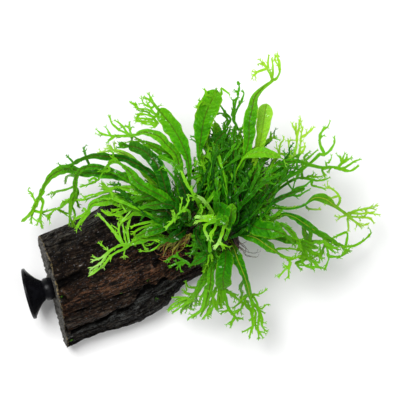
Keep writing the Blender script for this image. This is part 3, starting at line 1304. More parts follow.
        strand(311.6, 185.3, 317.7, 187, 326.2, 188.8), strand(315.4, 178.5, 316.2, 174),
        strand(301.7, 167.7, 304, 164.7)]),
    Frond([(256, 210), (278, 199), (292, 193), (305, 188)], (88, 82, 78), 4.0, Tone.DARK, crest=[
        strand(289, 193, 297, 188, 304.7, 186, 310, 181.5, 315, 178.5, w=2.2),
        strand(289, 196, 298, 196, 304.7, 192, 311, 188.5, w=2.2),
        strand(291, 190, 295, 181, 298.5, 174, 302, 168, w=1.7),
        strand(291.5, 189.5, 287.5, 182, 285.5, 172, 285, 164, w=1.7)]),
    # to the right
    Frond([(252, 212), (272, 208), (290, 209), (304, 205), (314, 198), (325, 199), (335, 206), (346, 214)],
          (82, 66, 56), 6.5, Tone.RIPE, widths=[(0, 1.5), (0.6, 1.7), (0.67, 2.0), (0.72, 5.0), (0.78, 7.6),
          (0.84, 6.4), (0.885, 2.9), (0.94, 2.3), (1, 2.6)], rib=-0.9, shift=-0.5, crest=[
        strand(347, 213, 357, 210.5, 366, 208.5, 375, 206, 379.5, 205.5, w=2.0),
        strand(366.6, 212.3, 380.6, 215, w=2.0), strand(349.8, 213.7, 362.4, 213.7, 375, 211.6, w=2.2),
        strand(351, 216.5, 362.4, 217.2, 372, 218.6, w=2.2),
        strand(345, 213, 353, 220, 361, 225, 369.4, 223.5, w=2.6), strand(354, 223.5, 362.4, 229, w=2.0),
        strand(362, 211, 370, 208, 377, 210, w=2.0), strand(345.6, 216.5, 338.6, 217.2, 334.3, 215),
        strand(347.7, 219.3, 348.4, 226.3, 348.4, 232),
        strand(337, 206, 340, 201, 338.5, 195, 333, 189.5, 327, 186), strand(338, 196, 333, 197.5, 328, 199),
        strand(269.8, 210.2, 283.8, 207.4, 300.7, 207.4), strand(303.5, 202.5, 309, 208.8, 321.7, 209.5)]),
    Frond([(250, 220), (268, 217), (284, 215), (294, 217), (304, 223.5), (313, 229.5), (324, 237),
          (338, 245)], (76, 48, 36), 7.0, Tone.MID, shift=-0.7, rib=-0.7, widths=[(0, 1.5), (0.34, 2.4),
          (0.5, 3.4), (0.56, 5.4), (0.64, 7.4), (0.72, 6.8), (0.8, 4.0), (0.88, 2.8), (1, 2.4)], crest=[
        strand(313, 229, 327, 236, 340, 245, 353, 246, 364, 240, 372, 232.5, w=3),
        strand(320, 232, 328.7, 243, 337, 250), strand(340, 247.4, 345.6, 251.6, 350.5, 251),
        strand(303.5, 228, 304.2, 236, 307.7, 246, w=3.6), strand(309, 228, 310.5, 240, 307, 253, w=3.2),
        strand(347, 232.5, 334.3, 237.5, 323, 241.7, 314.7, 241.7),
        strand(303, 222, 304, 228, 306, 236, 307, 244, 305, 252, w=4.8, blunt=True, lift=10, shift=-0.3),
        strand(309, 226, 311, 234, 309, 244, 312, 254, 311, 262, w=3.4, lift=10, shift=-0.3),
        strand(306, 240, 302, 246, 303, 254, 300, 260, w=2.8, lift=8),
        strand(312, 241, 318, 242, 326, 241.5, 333, 240, w=2.8),
        strand(318, 232, 322, 236, 325, 243, 322, 252, 321, 259, w=3.0, lift=6, shift=-0.2),
        strand(320, 252, 316, 256, 312, 259, w=3.2),
        strand(311, 230, 318, 233, 325, 238, 333, 243, 341, 248, w=2.2)]),
    Frond([(244, 221), (258, 228), (272, 230), (286, 235)], (91, 97, 86), 13.0, Tone.MID, shift=-0.9,
          light=0.45, crest=[
        strand(281, 225, 288, 228, 294, 235, 297, 240, w=5.2), strand(296, 236, 299, 243, 301, 250, w=3.4),
        strand(275.4, 222, 283.8, 232, 295, 241.7), strand(278, 233.3, 291, 237.5, 302, 240.3),
        strand(286, 235, 292, 242, 296, 248)]),
    Frond([(243, 233), (270, 236), (288, 240), (303, 242)], (69, 67, 60), 6.0, Tone.MID, light=0.6, crest=[
        strand(303.5, 244.5, 303.5, 256, 305, 261.5), strand(307.7, 247.5, 310.5, 258.5, 312, 270),
        strand(317.5, 241.7, 320.3, 250, 319, 264), strand(324.5, 241.7, 328.7, 256, 327.3, 263, 324, 271),
        strand(314.7, 267, 326, 268.4), strand(295, 263, 303.5, 265.6, 310.5, 264),
        strand(330, 256, 340, 256.5, 348.4, 252.3), strand(326, 246, 335.7, 253),
        strand(306.3, 257, 314.7, 261.4), strand(303, 242, 309, 244, 314, 247, 319, 248, w=5),
        strand(306, 246, 312, 252, 319, 254, w=4.2), strand(325, 243, 331, 247, 338, 248.5, w=2.8),
        strand(340, 256, 345, 252, 347, 246, w=2.6), strand(304, 250, 308, 258, 314, 262, 320, 262, w=3.4),
        strand(303, 256, 302, 262, 306, 266, 312, 268, 315, 271, w=2.2), strand(314, 262, 318, 267, 322, 269),
        strand(320, 258, 325, 258), strand(296, 250, 303, 247, w=3), strand(298, 256, 306, 258, w=3.6)]),
    Frond([(244, 235), (256, 238), (266, 245), (278, 253)], (82, 74, 66), 7.5, Tone.MID, rib=-0.9, crest=[
        strand(278, 248.8, 290.8, 248.8, 299.3, 250.2), strand(278, 251.6, 286.6, 258.6, 290.8, 263),
        strand(289.4, 262.8, 288.7, 271, 288.7, 279), strand(288, 264, 282.4, 272.6, 278.2, 278.2),
        strand(289.4, 267, 282.4, 267), strand(290.8, 258.6, 300.7, 256),
        strand(283.8, 255.8, 296.5, 258.6)]),
    # to the bottom
    Frond([(233, 246), (238, 260), (243, 272), (247, 284), (250, 297)], (78, 58, 44), 9.5, Tone.MID,
          widths=[(0, 1.5), (0.2, 4.0), (0.36, 8.8), (0.5, 8.4), (0.62, 5.6), (0.75, 4.8), (0.9, 4.6),
          (1, 4.0)], shift=-0.2, rib=-0.9, crest=[
        strand(251.2, 296.4, 253, 304.7, 252, 314.6, 253, 323.7, 251.2, 331, 249, 339.5, w=3),
        strand(251, 326, 246, 330.5, 241.7, 332),
        strand(257, 306, 259.5, 314.6, 257.8, 327, 258.7, 335.4, 258.3, 340.7, w=2.8),
        strand(259.5, 311, 262, 318.8, 262, 325.4, 265.3, 330.4, 268.6, 331.2, w=2.8),
        strand(255.4, 311, 255.4, 323, 256.2, 331), strand(259.5, 330.4, 263.7, 338.7),
        strand(253, 297, 257, 303, 258.7, 308, 262.8, 308, 266, 304.7, 271, 305),
        strand(244.6, 296.4, 255.4, 294.7, 262, 293, 267.8, 288),
        strand(243.7, 279.8, 240.4, 286.4, 242, 293, 240.4, 299.7, w=3.8),
        strand(240.4, 299.7, 243, 304.7, 237, 313.8), strand(244, 299, 248, 303, 251.2, 310.5),
        strand(240.4, 301.4, 232, 308.8), strand(243, 297, 246, 305, 251, 311, 253, 320, w=3.2),
        strand(249, 299, 254, 304, 258, 309, 261, 317, w=3)]),
    Frond([(226, 252), (225, 266), (223, 278), (224, 290)], (86, 76, 64), 13.0, Tone.MID, blunt=True,
          shift=-1.1, light=0.7, crest=[
        strand(219.7, 286.4, 218, 298, 217.2, 311.3, w=3),
        strand(221.4, 290, 221.4, 299.7, 221.4, 308.8, w=3),
        strand(224.7, 290, 225.5, 298, 228.8, 308.8, 234.6, 316.3, 238.8, 321.3, w=2.8),
        strand(236, 318, 243.7, 318.8), strand(233.8, 317, 229.7, 325.4),
        strand(228, 309.7, 223, 312, 220.5, 315), strand(223.8, 290, 233, 294, 238, 299.7),
        strand(226.3, 291.4, 238.8, 295.6), strand(239.6, 308.8, 236.3, 313.8),
        strand(216, 288, 214, 296, 215, 304, 217, 311, w=3.4), strand(220, 290, 219, 300, 222, 309, w=3.4),
        strand(225, 292, 223, 299, 224, 306, w=3), strand(227, 291, 234, 296.5, 240, 301, w=2.8)]),
    Frond([(218, 254), (212, 268), (210, 286), (207, 300)], (78, 64, 54), 5.6, Tone.LIGHT, shift=-0.5, crest=[
        strand(206.4, 286.4, 204.8, 298, 200.6, 310.5, 189, 318, 187.4, 321, w=3),
        strand(211.4, 290, 213, 298, 213, 306.3, 208, 313, 201.5, 320, w=3),
        strand(209, 294, 208, 303, 204, 310.5), strand(209.8, 313.8, 208, 319.6),
        strand(196.5, 311.3, 192.3, 318.8), strand(208, 296, 206, 304, 203, 311, 200, 317, w=3.2),
        strand(211, 298, 210, 306, 207, 313, w=3.0), strand(204, 290, 201, 298, 199, 306, w=3.0),
        strand(213, 296, 214, 304, 211, 311, 210, 316, w=3)]),
    Frond([(216, 253), (208, 262), (206, 274), (200, 286), (194, 296)], (71, 51, 35), 6.4, Tone.LIGHT,
          rib=0.2, crest=[
        strand(197.3, 286.4, 193.2, 298, 186.5, 306.3, 181.6, 310.5, 181, 315, w=3),
        strand(192.3, 299.7, 183.2, 305.5, 176.6, 309.7, 171.6, 313.8),
        strand(187.4, 298, 178.2, 301.4, 170.8, 306.3, 167.5, 312),
        strand(188.2, 297.2, 179, 297.2, 171.2, 297.6), strand(198, 286.4, 189, 287.3, 186.5, 284, 185, 280),
        strand(194.8, 293, 187.4, 294, 184, 291.4, 181.6, 289), strand(184, 294.7, 187.4, 289),
        strand(183.2, 298, 176.6, 303), strand(189, 308, 194.8, 310.5), strand(195.7, 301.4, 196.5, 307),
        strand(200, 286, 194, 294, 188, 300, 184, 308, w=3.0), strand(197, 290, 193, 300, 190, 308, w=2.8),
        strand(188, 298, 180, 304, 174, 307.5), strand(190, 300, 184, 306, 182, 312),
        strand(184, 302, 176, 306, 167.5, 311), strand(203, 284, 198, 292, 196, 300, w=3.2)]),
    Frond([(212, 244), (204, 256), (192, 264)], (90, 86, 80), 5.0, Tone.DARK, light=0.55, shift=0.3, crest=[
        strand(204, 258, 196, 261.5, 190.5, 265, 188.8, 267.5),
        strand(190.5, 264, 183, 260, 177, 256.5, 178, 251.5), strand(184, 261, 178, 263, 171, 266, 170, 268),
        strand(185, 262, 180, 265, 176.5, 268.2), strand(177, 256.5, 171, 257, 165, 262),
        strand(200, 254, 192, 253, 185, 254)]),
]


# ---------------------------------------------------------------- wood


def near_line(pixels: np.ndarray, line: tuple[Pixel, ...]) -> np.ndarray:
    """How far pixels lie from a line of pixels.

    Args:
        pixels: n by 2.
        line: two or more pixels.

    Returns:
        n distances in pixels.
    """
    best = np.full(len(pixels), 1e9)
    for a, b in zip(np.array(line[:-1], float), np.array(line[1:], float)):
        step = b - a
        share = np.clip(((pixels - a) @ step) / (step @ step), 0.0, 1.0)
        best = np.minimum(best, np.linalg.norm(pixels - a - share[:, None] * step, axis=1))
    return best


@dataclass(frozen=True)
class Waves:
    """A smooth noise, by its wave lengths in mm and a number that sets it off from the others."""

    along: float
    across: float
    up: float
    seed: float

    def at(self, places: np.ndarray) -> np.ndarray:
        """Its values, about -1 to 1, at places in mm."""
        scaled = places / np.array((self.along, self.across, self.up)) + self.seed
        return np.array([1.6 * noise.noise(Vector(place)) for place in scaled])

    def ridges(self, places: np.ndarray) -> np.ndarray:
        """The same noise folded into sharp ridges of height 1."""
        return 1 - 2 * np.abs(self.at(places))


@dataclass(frozen=True)
class Groove:
    """A crack or hollow in the wood, along a line of pixels."""

    line: tuple[Pixel, ...]
    depth: float  # mm
    wide: float  # pixels from the line to where it begins
    narrow: float  # pixels from the line to where it is deepest
    frayed: float = 0.8  # how uneven its edges are

    def away(self, pixels: np.ndarray, jitter: np.ndarray) -> np.ndarray:
        """How far pixels lie from it, by its uneven edges."""
        return near_line(pixels, self.line) + self.frayed * jitter

    def sunk(self, away: np.ndarray) -> np.ndarray:
        """How much of its depth there is at distances from it, from 0 to 1."""
        return ease(self.wide, self.narrow, away)


def terrace(values: np.ndarray) -> np.ndarray:
    """The same values as flat steps with steep rises between, as split wood has."""
    floor = np.floor(values)
    return floor + ease(0.35, 0.65, values - floor) - 0.5


@dataclass
class Driftwood:
    """The block of wood: fibres, layers, cracks and worn hollows on the CAD solid's form."""

    picture: Picture
    voxel: float = 0.78  # mm
    lowest: float = -6.0  # mm, the deepest carving
    highest: float = 1.2
    grain_turn: float = math.radians(10)
    seat: tuple[float, float, float] = (-2.4, 32.0, 12.5)  # y, z and radius round the cup's knob
    saw_end: float = -56.0  # x
    bend: Waves = Waves(60.0, 30.0, 30.0, 3.3)
    layers: Waves = Waves(95.0, 15.0, 11.0, 11.0)
    ribs: Waves = Waves(36.0, 4.2, 4.2, 5.0)
    strips: Waves = Waves(19.0, 2.2, 2.2, 15.0)
    fibres: Waves = Waves(9.0, 1.4, 1.4, 8.0)
    hairs: Waves = Waves(12.0, 1.3, 1.3, 17.0)
    checks: Waves = Waves(30.0, 6.0, 6.0, 23.0)
    dried: Waves = Waves(50.0, 16.0, 16.0, 29.0)  # where the checks open
    ledges: Waves = Waves(46.0, 3.4, 3.0, 41.0)
    frays: tuple[Waves, Waves] = (Waves(9.0, 9.0, 9.0, 31.0), Waves(2.6, 2.6, 2.6, 33.0))
    saw_marks: tuple[Waves, Waves] = (Waves(9.0, 9.0, 1.1, 51.0), Waves(9.0, 2.4, 14.0, 53.0))
    saw_split: Waves = Waves(30.0, 6.0, 16.0, 57.0)
    saw_frays: Waves = Waves(9.0, 4.0, 7.0, 59.0)
    upper_crack: Groove = Groove((
        (63.8, 320), (72, 316), (83, 312), (94, 305), (102, 300.8), (114.8, 298.2), (127, 295),
        (137.8, 291.8)), depth=2.4, wide=1.7, narrow=0.3)
    deep_crack: Groove = Groove((
        (72, 333), (80, 329), (89.3, 325.6), (98, 323), (105.9, 318.6), (111, 313), (117.3, 311),
        (126, 308.5), (133.9, 304.6), (136, 301), (139, 298.2), (146.7, 289.3), (156.9, 286.7),
        (166, 280)), depth=5.6, wide=2.8, narrow=0.9)
    side_crack: Groove = Groove((
        (66, 283), (80, 277), (97, 273), (112, 268), (128, 266)), depth=1.3, wide=1.4, narrow=0.2)
    plate_edge: Groove = Groove((
        (43, 247), (50, 247), (57, 243.5), (63, 240.5), (70, 238)), depth=2.2, wide=1.3, narrow=0.3, frayed=0.4)
    hollows: tuple[Groove, ...] = (
        Groove(((60, 284), (70, 280), (81, 275)), 4.2, 6.4, 1.92, 1.0),
        Groove(((56, 300), (63, 299)), 2.2, 3.6, 1.08, 1.0),
        Groove(((155.6, 263.8), (167, 257.4)), 2.6, 4.0, 1.2, 1.0),
        Groove(((63, 326), (66, 331)), 3.0, 3.0, 0.9, 1.0))
    red_edge: tuple[Pixel, ...] = ((50, 296), (75, 286), (95, 272), (110, 258), (150, 252))
    saw_crack: tuple[Pixel, ...] = ((40.6, 247), (43.4, 254), (46.8, 261), (50.0, 271))
    ridge: tuple[Pixel, ...] = ((44.6, 257.4), (71.4, 248.5), (89.3, 234.4), (102, 221.7))
    algae_spots: tuple[Pixel, ...] = (
        (132, 259.5), (122, 295), (148, 281), (158, 301), (61, 298), (64, 341), (72, 343), (39, 240))

    def solid(self) -> bpy.types.Object:
        """Copies the CAD solid and remeshes it finely enough to carve.

        Returns:
            The new object.
        """
        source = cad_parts["driftwood"]
        mesh = source.data.copy()
        mesh.transform(source.matrix_world)
        piece = bpy.data.objects.new("driftwood_carved", mesh)
        bpy.context.scene.collection.objects.link(piece)
        select_only(piece)
        bpy.ops.object.mode_set(mode="EDIT")
        bpy.ops.mesh.select_all(action="SELECT")
        bpy.ops.mesh.remove_doubles(threshold=1e-6)
        bpy.ops.object.mode_set(mode="OBJECT")
        skin = piece.modifiers.new("skin", "REMESH")
        skin.mode = "VOXEL"
        skin.voxel_size = self.voxel * MM
        skin.use_smooth_shade = True
        bpy.ops.object.modifier_apply(modifier=skin.name)
        return piece

    def along_grain(self, places: np.ndarray) -> np.ndarray:
        """Measures places by the grain, which is turned and a little bent.

        Args:
            places: n by 3 in mm.

        Returns:
            n by 3 in mm, along, across and up the grain.
        """
        cos, sin = math.cos(self.grain_turn), math.sin(self.grain_turn)
        grain = np.column_stack((places[:, 0] * cos + places[:, 1] * sin,
                                 places[:, 1] * cos - places[:, 0] * sin, places[:, 2]))
        bend = self.bend.at(grain)
        grain[:, 1] += 3.0 * bend
        grain[:, 2] += 2.0 * bend
        return grain

    def sawn_relief(self, places: np.ndarray, pixels: np.ndarray) -> tuple[np.ndarray, np.ndarray]:
        """The saw's marks on the sawn end, with a split and a torn upper edge.

        Args:
            places: n by 3 in mm.
            pixels: n by 2.

        Returns:
            How far out each place moves in mm, and how dark it is.
        """
        fine, broad = (marks.at(places) for marks in self.saw_marks)
        split = ease(0.16, 0.04, np.abs(self.saw_split.at(places)))
        ragged = self.saw_frays.at(places)
        gash = (ease(2.2, 1.2, near_line(pixels, self.saw_crack) + 0.5 * ragged)
                * ease(41.0, 45.0, places[:, 2] + 4.0 * ragged))
        return 0.22 * fine + 0.35 * broad - 1.6 * split - 2.2 * gash, np.maximum(split, gash)

    def carve(self, places: np.ndarray, normals: np.ndarray) -> tuple[np.ndarray, dict[str, np.ndarray]]:
        """Moves the surface along its normals and stains it.

        Args:
            places: n by 3 in mm.
            normals: n by 3.

        Returns:
            The new places, and what the finish reads.
        """
        grain = self.along_grain(places)
        pixels = self.picture.pixels(places)
        x, y, z = places.T
        sawn = ease(-0.35, -0.75, normals[:, 0]) * ease(self.saw_end + 4, self.saw_end - 2, x)
        under = ease(-0.35, -0.80, normals[:, 2]) * ease(6.0, 2.0, z)
        free = (1 - under) * (1 - sawn)
        upward = ease(-0.1, 0.35, normals[:, 2])

        steps = terrace(2.6 * self.layers.at(grain))
        ribs, strips, hairs = (waves.ridges(grain) for waves in (self.ribs, self.strips, self.hairs))
        cracks = ease(0.085, 0.02, np.abs(self.checks.at(grain))) * ease(-0.15, 0.3, self.dried.at(grain))
        move = (0.85 * steps + 0.60 * ribs + 0.36 * strips + 0.26 * self.fibres.at(grain) + 0.14 * hairs
                - 2.1 * cracks - 0.7)

        frays = [waves.at(grain) for waves in self.frays]
        jitter = 1.3 * frays[0] + 0.5 * frays[1]
        deep = self.deep_crack.away(pixels, jitter)
        upper = self.upper_crack.away(pixels, jitter)
        plates = self.plate_edge.away(pixels, jitter)
        holes, depth = np.zeros((2, len(places)))
        for groove in (self.deep_crack, self.upper_crack, self.side_crack, self.plate_edge, *self.hollows):
            sunk = groove.sunk(groove.away(pixels, jitter))
            depth += groove.depth * sunk
            if groove in self.hollows:
                holes = np.maximum(holes, sunk)
        crest = ease(6.0, 0.5, near_line(pixels, self.ridge))
        lower = self.below(pixels, self.deep_crack.line)
        facet = ease(-1.0, 1.5, self.side_of(pixels, self.ridge)) * ease(118.0, 100.0, pixels[:, 0])
        move += (0.9 * crest + 1.2 * facet - depth - 0.9 * lower * ease(1.0, 4.0, deep)) * upward
        move += lower * (1.1 * self.ledges.ridges(grain) - 0.4)

        saw, torn = self.sawn_relief(places, pixels)
        seat_y, seat_z, seat_radius = self.seat
        mouth = ease(seat_radius, seat_radius + 4.0, np.hypot(y - seat_y, z - seat_z))
        rest = np.clip(mouth + ease(-60.0, -52.0, x), 0.0, 1.0)
        move = np.clip(move * free * 0.85 + saw * sawn, self.lowest, self.highest) * rest

        rim = ease(0.05, 0.45, sawn) * ease(0.98, 0.60, sawn)
        plank = self.below(pixels, self.upper_crack.line) * (1 - lower)
        face = ease(-2.0, 6.0, self.side_of(pixels, self.ridge))
        warm = ease(5.0, -6.0, self.side_of(pixels, self.red_edge) + 2.0 * jitter)
        high = ease(-0.6, 1.0, 0.5 * steps + 0.5 * ribs + 0.4 * strips)
        red = upward * (1 - face) * (0.15 + 0.85 * warm)
        red = np.clip(red - 0.60 * plank, 0, 1) * (1 - 0.85 * lower)
        red = red * (0.35 + 0.65 * high) - 0.6 * lower  # below 0 the grey is cooler
        grey = 1.2 * facet + 1.3 * lower + 0.20 * (1 - face) + 0.3 * plank
        grey = np.clip(grey * (0.20 + 0.80 * high), 0, 1)
        gaps = ease(2.9, 1.6, deep) + 0.9 * ease(1.5, 0.4, upper) + ease(1.3, 0.5, plates) + 0.8 * holes
        dark = np.clip(gaps * upward + 0.9 * cracks + 0.20 * ease(22.0, 60.0, x)
                       + 0.55 * ease(0.15, -0.75, ribs) + 0.3 * ease(0.25, -0.35, normals[:, 2]), 0, 1)
        algae = np.zeros(len(places))
        for spot in self.algae_spots:
            algae = np.maximum(algae, ease(2.4, 0.8, np.linalg.norm(pixels - np.array(spot), axis=1)))
        return places + normals * move[:, None], {
            "stain": np.column_stack((red * free, grey * free, np.maximum(dark * (1 - sawn), torn * sawn))),
            "place": np.column_stack((sawn, algae * (1 - sawn) * upward, rim))}

    @staticmethod
    def side_of(pixels: np.ndarray, line: tuple[Pixel, ...]) -> np.ndarray:
        """How far pixels lie above a line that runs to the right, in pixels, by its height there."""
        xs, ys = zip(*line)
        return np.interp(pixels[:, 0], xs, ys) - pixels[:, 1]

    def below(self, pixels: np.ndarray, line: tuple[Pixel, ...]) -> np.ndarray:
        """1 below a line that runs to the right and 0 above it."""
        return ease(-0.5, 1.5, -self.side_of(pixels, line))

    def build(self) -> bpy.types.Object:
        """Carves and dresses the piece, in place of the CAD solid.

        Returns:
            The finished object.
        """
        piece = self.solid()
        mesh = piece.data
        places, normals = np.empty((2, len(mesh.vertices) * 3))
        mesh.vertices.foreach_get("co", places)
        mesh.vertex_normals.foreach_get("vector", normals)
        moved, stains = self.carve(places.reshape(-1, 3) / MM, normals.reshape(-1, 3))
        mesh.vertices.foreach_set("co", (moved * MM).ravel())
        for key, values in stains.items():
            set_vectors(mesh, key, values)
        mesh.update()
        mesh.shade_smooth()
        mesh.materials.clear()
        mesh.materials.append(WoodFinish().material())
        enrol(piece, "wet_driftwood", "driftwood")
        return piece


@dataclass
class SuctionCup:
    """A rubber cup turned about a level axis: a dished disc, a cone and the knob that sits in the wood."""

    axis: tuple[float, float] = (-2.4, 32.0)  # y and z
    sides: int = 96
    dish: tuple[Span, ...] = (  # x and radius, inside the disc
        (-83.2, 0.6), (-83.3, 3.5), (-83.55, 6.5), (-84.0, 9.6), (-84.6, 12.5), (-85.3, 15.0), (-86.1, 17.2),
        (-86.75, 18.5), (-87.0, 19.2))
    rim: tuple[Span, ...] = (
        (-87.1, 19.7), (-87.05, 20.15), (-86.8, 20.3), (-85.6, 20.3), (-85.2, 20.15), (-85.0, 19.8),
        (-85.0, 19.3))
    cone: tuple[Span, ...] = (
        (-84.6, 18.7), (-83.4, 17.0), (-82.0, 15.1), (-80.6, 13.3), (-79.2, 11.7), (-77.8, 10.3),
        (-76.5, 9.2), (-75.5, 8.5), (-74.8, 8.1), (-74.5, 7.7))
    knob: tuple[Span, ...] = (
        (-74.35, 7.55), (-74.2, 7.7), (-73.9, 8.2), (-73.2, 8.7), (-72.0, 9.05), (-70.6, 9.1), (-69.2, 8.95),
        (-67.8, 8.6), (-66.6, 8.15), (-65.8, 7.6), (-65.3, 6.7), (-65.2, 0.6))

    def build(self) -> None:
        """Turns the profile by pushing a circle along the axis and sizing it, ring after ring."""
        profile = [*self.dish, *self.rim, *self.cone, *self.knob]
        x, radius = profile[0]
        y, z = self.axis
        bpy.ops.object.select_all(action="DESELECT")
        bpy.ops.mesh.primitive_circle_add(vertices=self.sides, radius=radius * MM, fill_type="NGON",
                                          location=(x * MM, y * MM, z * MM), rotation=(0.0, math.pi / 2, 0.0))
        piece = bpy.context.object
        bpy.ops.object.transform_apply(location=True, rotation=True, scale=True)
        bpy.ops.object.mode_set(mode="EDIT")
        bpy.ops.mesh.select_all(action="SELECT")
        for (x0, r0), (x1, r1) in zip(profile, profile[1:]):
            bpy.ops.mesh.extrude_region_move(TRANSFORM_OT_translate={"value": ((x1 - x0) * MM, 0.0, 0.0)})
            scale = r1 / r0
            bpy.ops.transform.resize(value=(1.0, scale, scale), center_override=(x1 * MM, y * MM, z * MM))
        bpy.ops.mesh.select_all(action="SELECT")
        bpy.ops.mesh.normals_make_consistent(inside=False)
        bpy.ops.object.mode_set(mode="OBJECT")
        piece.name = piece.data.name = "suction_cup_moulded"
        bpy.ops.object.shade_smooth_by_angle(angle=math.radians(40))
        piece.data.materials.clear()
        piece.data.materials.append(RubberFinish().material())
        enrol(piece, "black_rubber", "suction_cup")


# ---------------------------------------------------------------- stem and roots


@dataclass
class Stem:
    """The rhizome with its scales, and the roots that hold it on the wood."""

    picture: Picture
    rhizome: Rhizome
    line: np.ndarray  # the stem's middle in mm
    wood: BVHTree
    rings: int = 110
    sides: int = 16
    bumps: Waves = Waves(2.6, 2.6, 2.6, 71.0)
    seeds: tuple[int, int] = (5, 19)  # for the scales and for the roots
    scales: int = 420
    scale_spots: int = 200  # along the stem, where a scale may sit
    scale_sizes: Span = (1.0, 2.6)  # mm
    scale_widths: tuple[float, ...] = (0.5, 0.85, 0.75, 0.45, 0.16)  # mm, from a scale's foot to its tip
    tuft: int = 34  # how many thick young roots hang in front
    tuft_area: tuple[Span, Span] = ((172, 192), (232, 241))  # pixels across and down, like the other areas
    tuft_sizes: Span = (9.0, 24.0)  # pixels, like the other sizes
    tuft_ways: Span = (118.0, 152.0)  # degrees, down and to the left
    curls: int = 30  # short ones on the wood below the tuft
    curls_area: tuple[Span, Span] = ((164, 182), (248, 258))
    curl_sizes: Span = (3.0, 8.0)
    creepers: int = 150  # on the wood, all round the stem
    creeper_sizes: Span = (8.0, 26.0)
    felt: int = 170  # dead ones between the stipes
    felt_sizes: Span = (2.5, 7.0)
    crown_felt: int = 60  # the same, higher, where the upright fronds part
    crown_area: tuple[Span, Span] = ((232, 268), (176, 202))
    crown_sizes: Span = (2.0, 5.0)
    runners: int = 7  # long ones on the wood to the lower right
    runner: tuple[Pixel, ...] = ((235, 238), (237, 243), (245, 250), (246, 254), (257, 255), (258, 251))
    stem_skin: RootFinish = RootFinish("rhizome skin", (0.014, 0.009, 0.004), (0.075, 0.042, 0.012))
    young_skin: RootFinish = RootFinish("young root hairs", (0.110, 0.120, 0.006), (0.330, 0.330, 0.025))
    rusty_skin: RootFinish = RootFinish("rusty root hairs", (0.080, 0.026, 0.004), (0.300, 0.095, 0.012))
    old_skin: RootFinish = RootFinish("old root hairs", (0.010, 0.006, 0.004), (0.075, 0.032, 0.012))

    def skin(self, leaves: LeafMesh) -> None:
        """Adds the bumpy stem to a mesh.

        Args:
            leaves: the mesh.
        """
        line = curve_through(self.line, self.rings)
        radius = self.rhizome.radius * self.rhizome.swell(np.linspace(0.0, 1.0, self.rings))
        right, up = LeafMesh.frames(line, None)
        sides = []
        for angle in np.arange(self.sides) * math.tau / self.sides:
            way = right * math.cos(angle) + up * math.sin(angle)
            sides.append(line + way * (radius * (0.93 + 0.07 * self.bumps.at(line + way * 3)))[:, None])
        leaves.skin(np.stack(sides, axis=1), np.zeros(3), np.array((-0.2, 0.0, 0.0)), np.zeros(1))

    def build(self) -> None:
        """The stem with its scales, in place of the CAD solid."""
        rng = random.Random(self.seeds[0])
        leaves = LeafMesh(rng)
        self.skin(leaves)
        line = curve_through(self.line, self.scale_spots)
        last = self.scale_spots - 1
        right, up = LeafMesh.frames(line, None)
        for _ in range(self.scales):
            at = rng.randint(6, last - 6)
            angle = rng.uniform(-0.3, math.pi + 0.3)
            out = right[at] * math.cos(angle) + up[at] * math.sin(angle)
            ahead = unit(line[min(at + 3, last)] - line[at])
            base = line[at] + out * self.rhizome.radius * self.rhizome.swell(at / last) * 0.92
            size = rng.uniform(*self.scale_sizes)
            way = ahead * rng.uniform(0.4, 1.0) + out * rng.uniform(0.05, 0.55)
            widths = np.array(self.scale_widths)
            end = base + way * size + out * 0.25
            points = curve_through([base, base + way * size * 0.5, end], len(widths))
            leaves.add(Ribbon(points, widths, np.zeros(len(widths)), tone=rng.uniform(-0.4, 0.6),
                              thickness=0.22, columns=3))
        mesh = leaves.mesh("rhizome_scaled", self.stem_skin.material())
        add_object("rhizome_scaled", mesh, "rhizome", "rhizome")

    def root(self, rng: random.Random, route: list[Pixel], heights: list[float], width: float,
             cling: float = 0.0) -> Ribbon:
        """One root hair.

        Args:
            rng: its own chance.
            route: the pixels it runs through.
            heights: mm at each of them.
            width: mm where it starts.
            cling: how much it lies down on the wood, from 0 to 1.

        Returns:
            Its ribbon, nearly round.
        """
        count = max(6, int(length_of(route) / 2.2))
        s = np.linspace(0.0, 1.0, count)
        high = np.interp(s, np.linspace(0.0, 1.0, len(heights)), heights)
        line = self.picture.places(curve_through(route, count), high)
        for axis in range(3):
            line[:, axis] += 0.7 * wander(rng, s * count, 3.5) * np.minimum(s * 4, 1)
        for i in range(1, count if cling else 1):
            top = wood_top(self.wood, line[i, 0], line[i, 1])
            if top is not None:
                share = cling * min(1.0, i / (0.35 * count))
                line[i, 2] += (max(top, 0.0) + width * 0.6 - line[i, 2]) * share
        return Ribbon(line, width * (1 - 0.6 * s), np.zeros(count), tone=rng.uniform(-0.4, 0.5),
                      thickness=width, columns=3)

    @staticmethod
    def spot(rng: random.Random, area: tuple[Span, Span]) -> Pixel:
        """Any pixel of an area."""
        return rng.uniform(*area[0]), rng.uniform(*area[1])

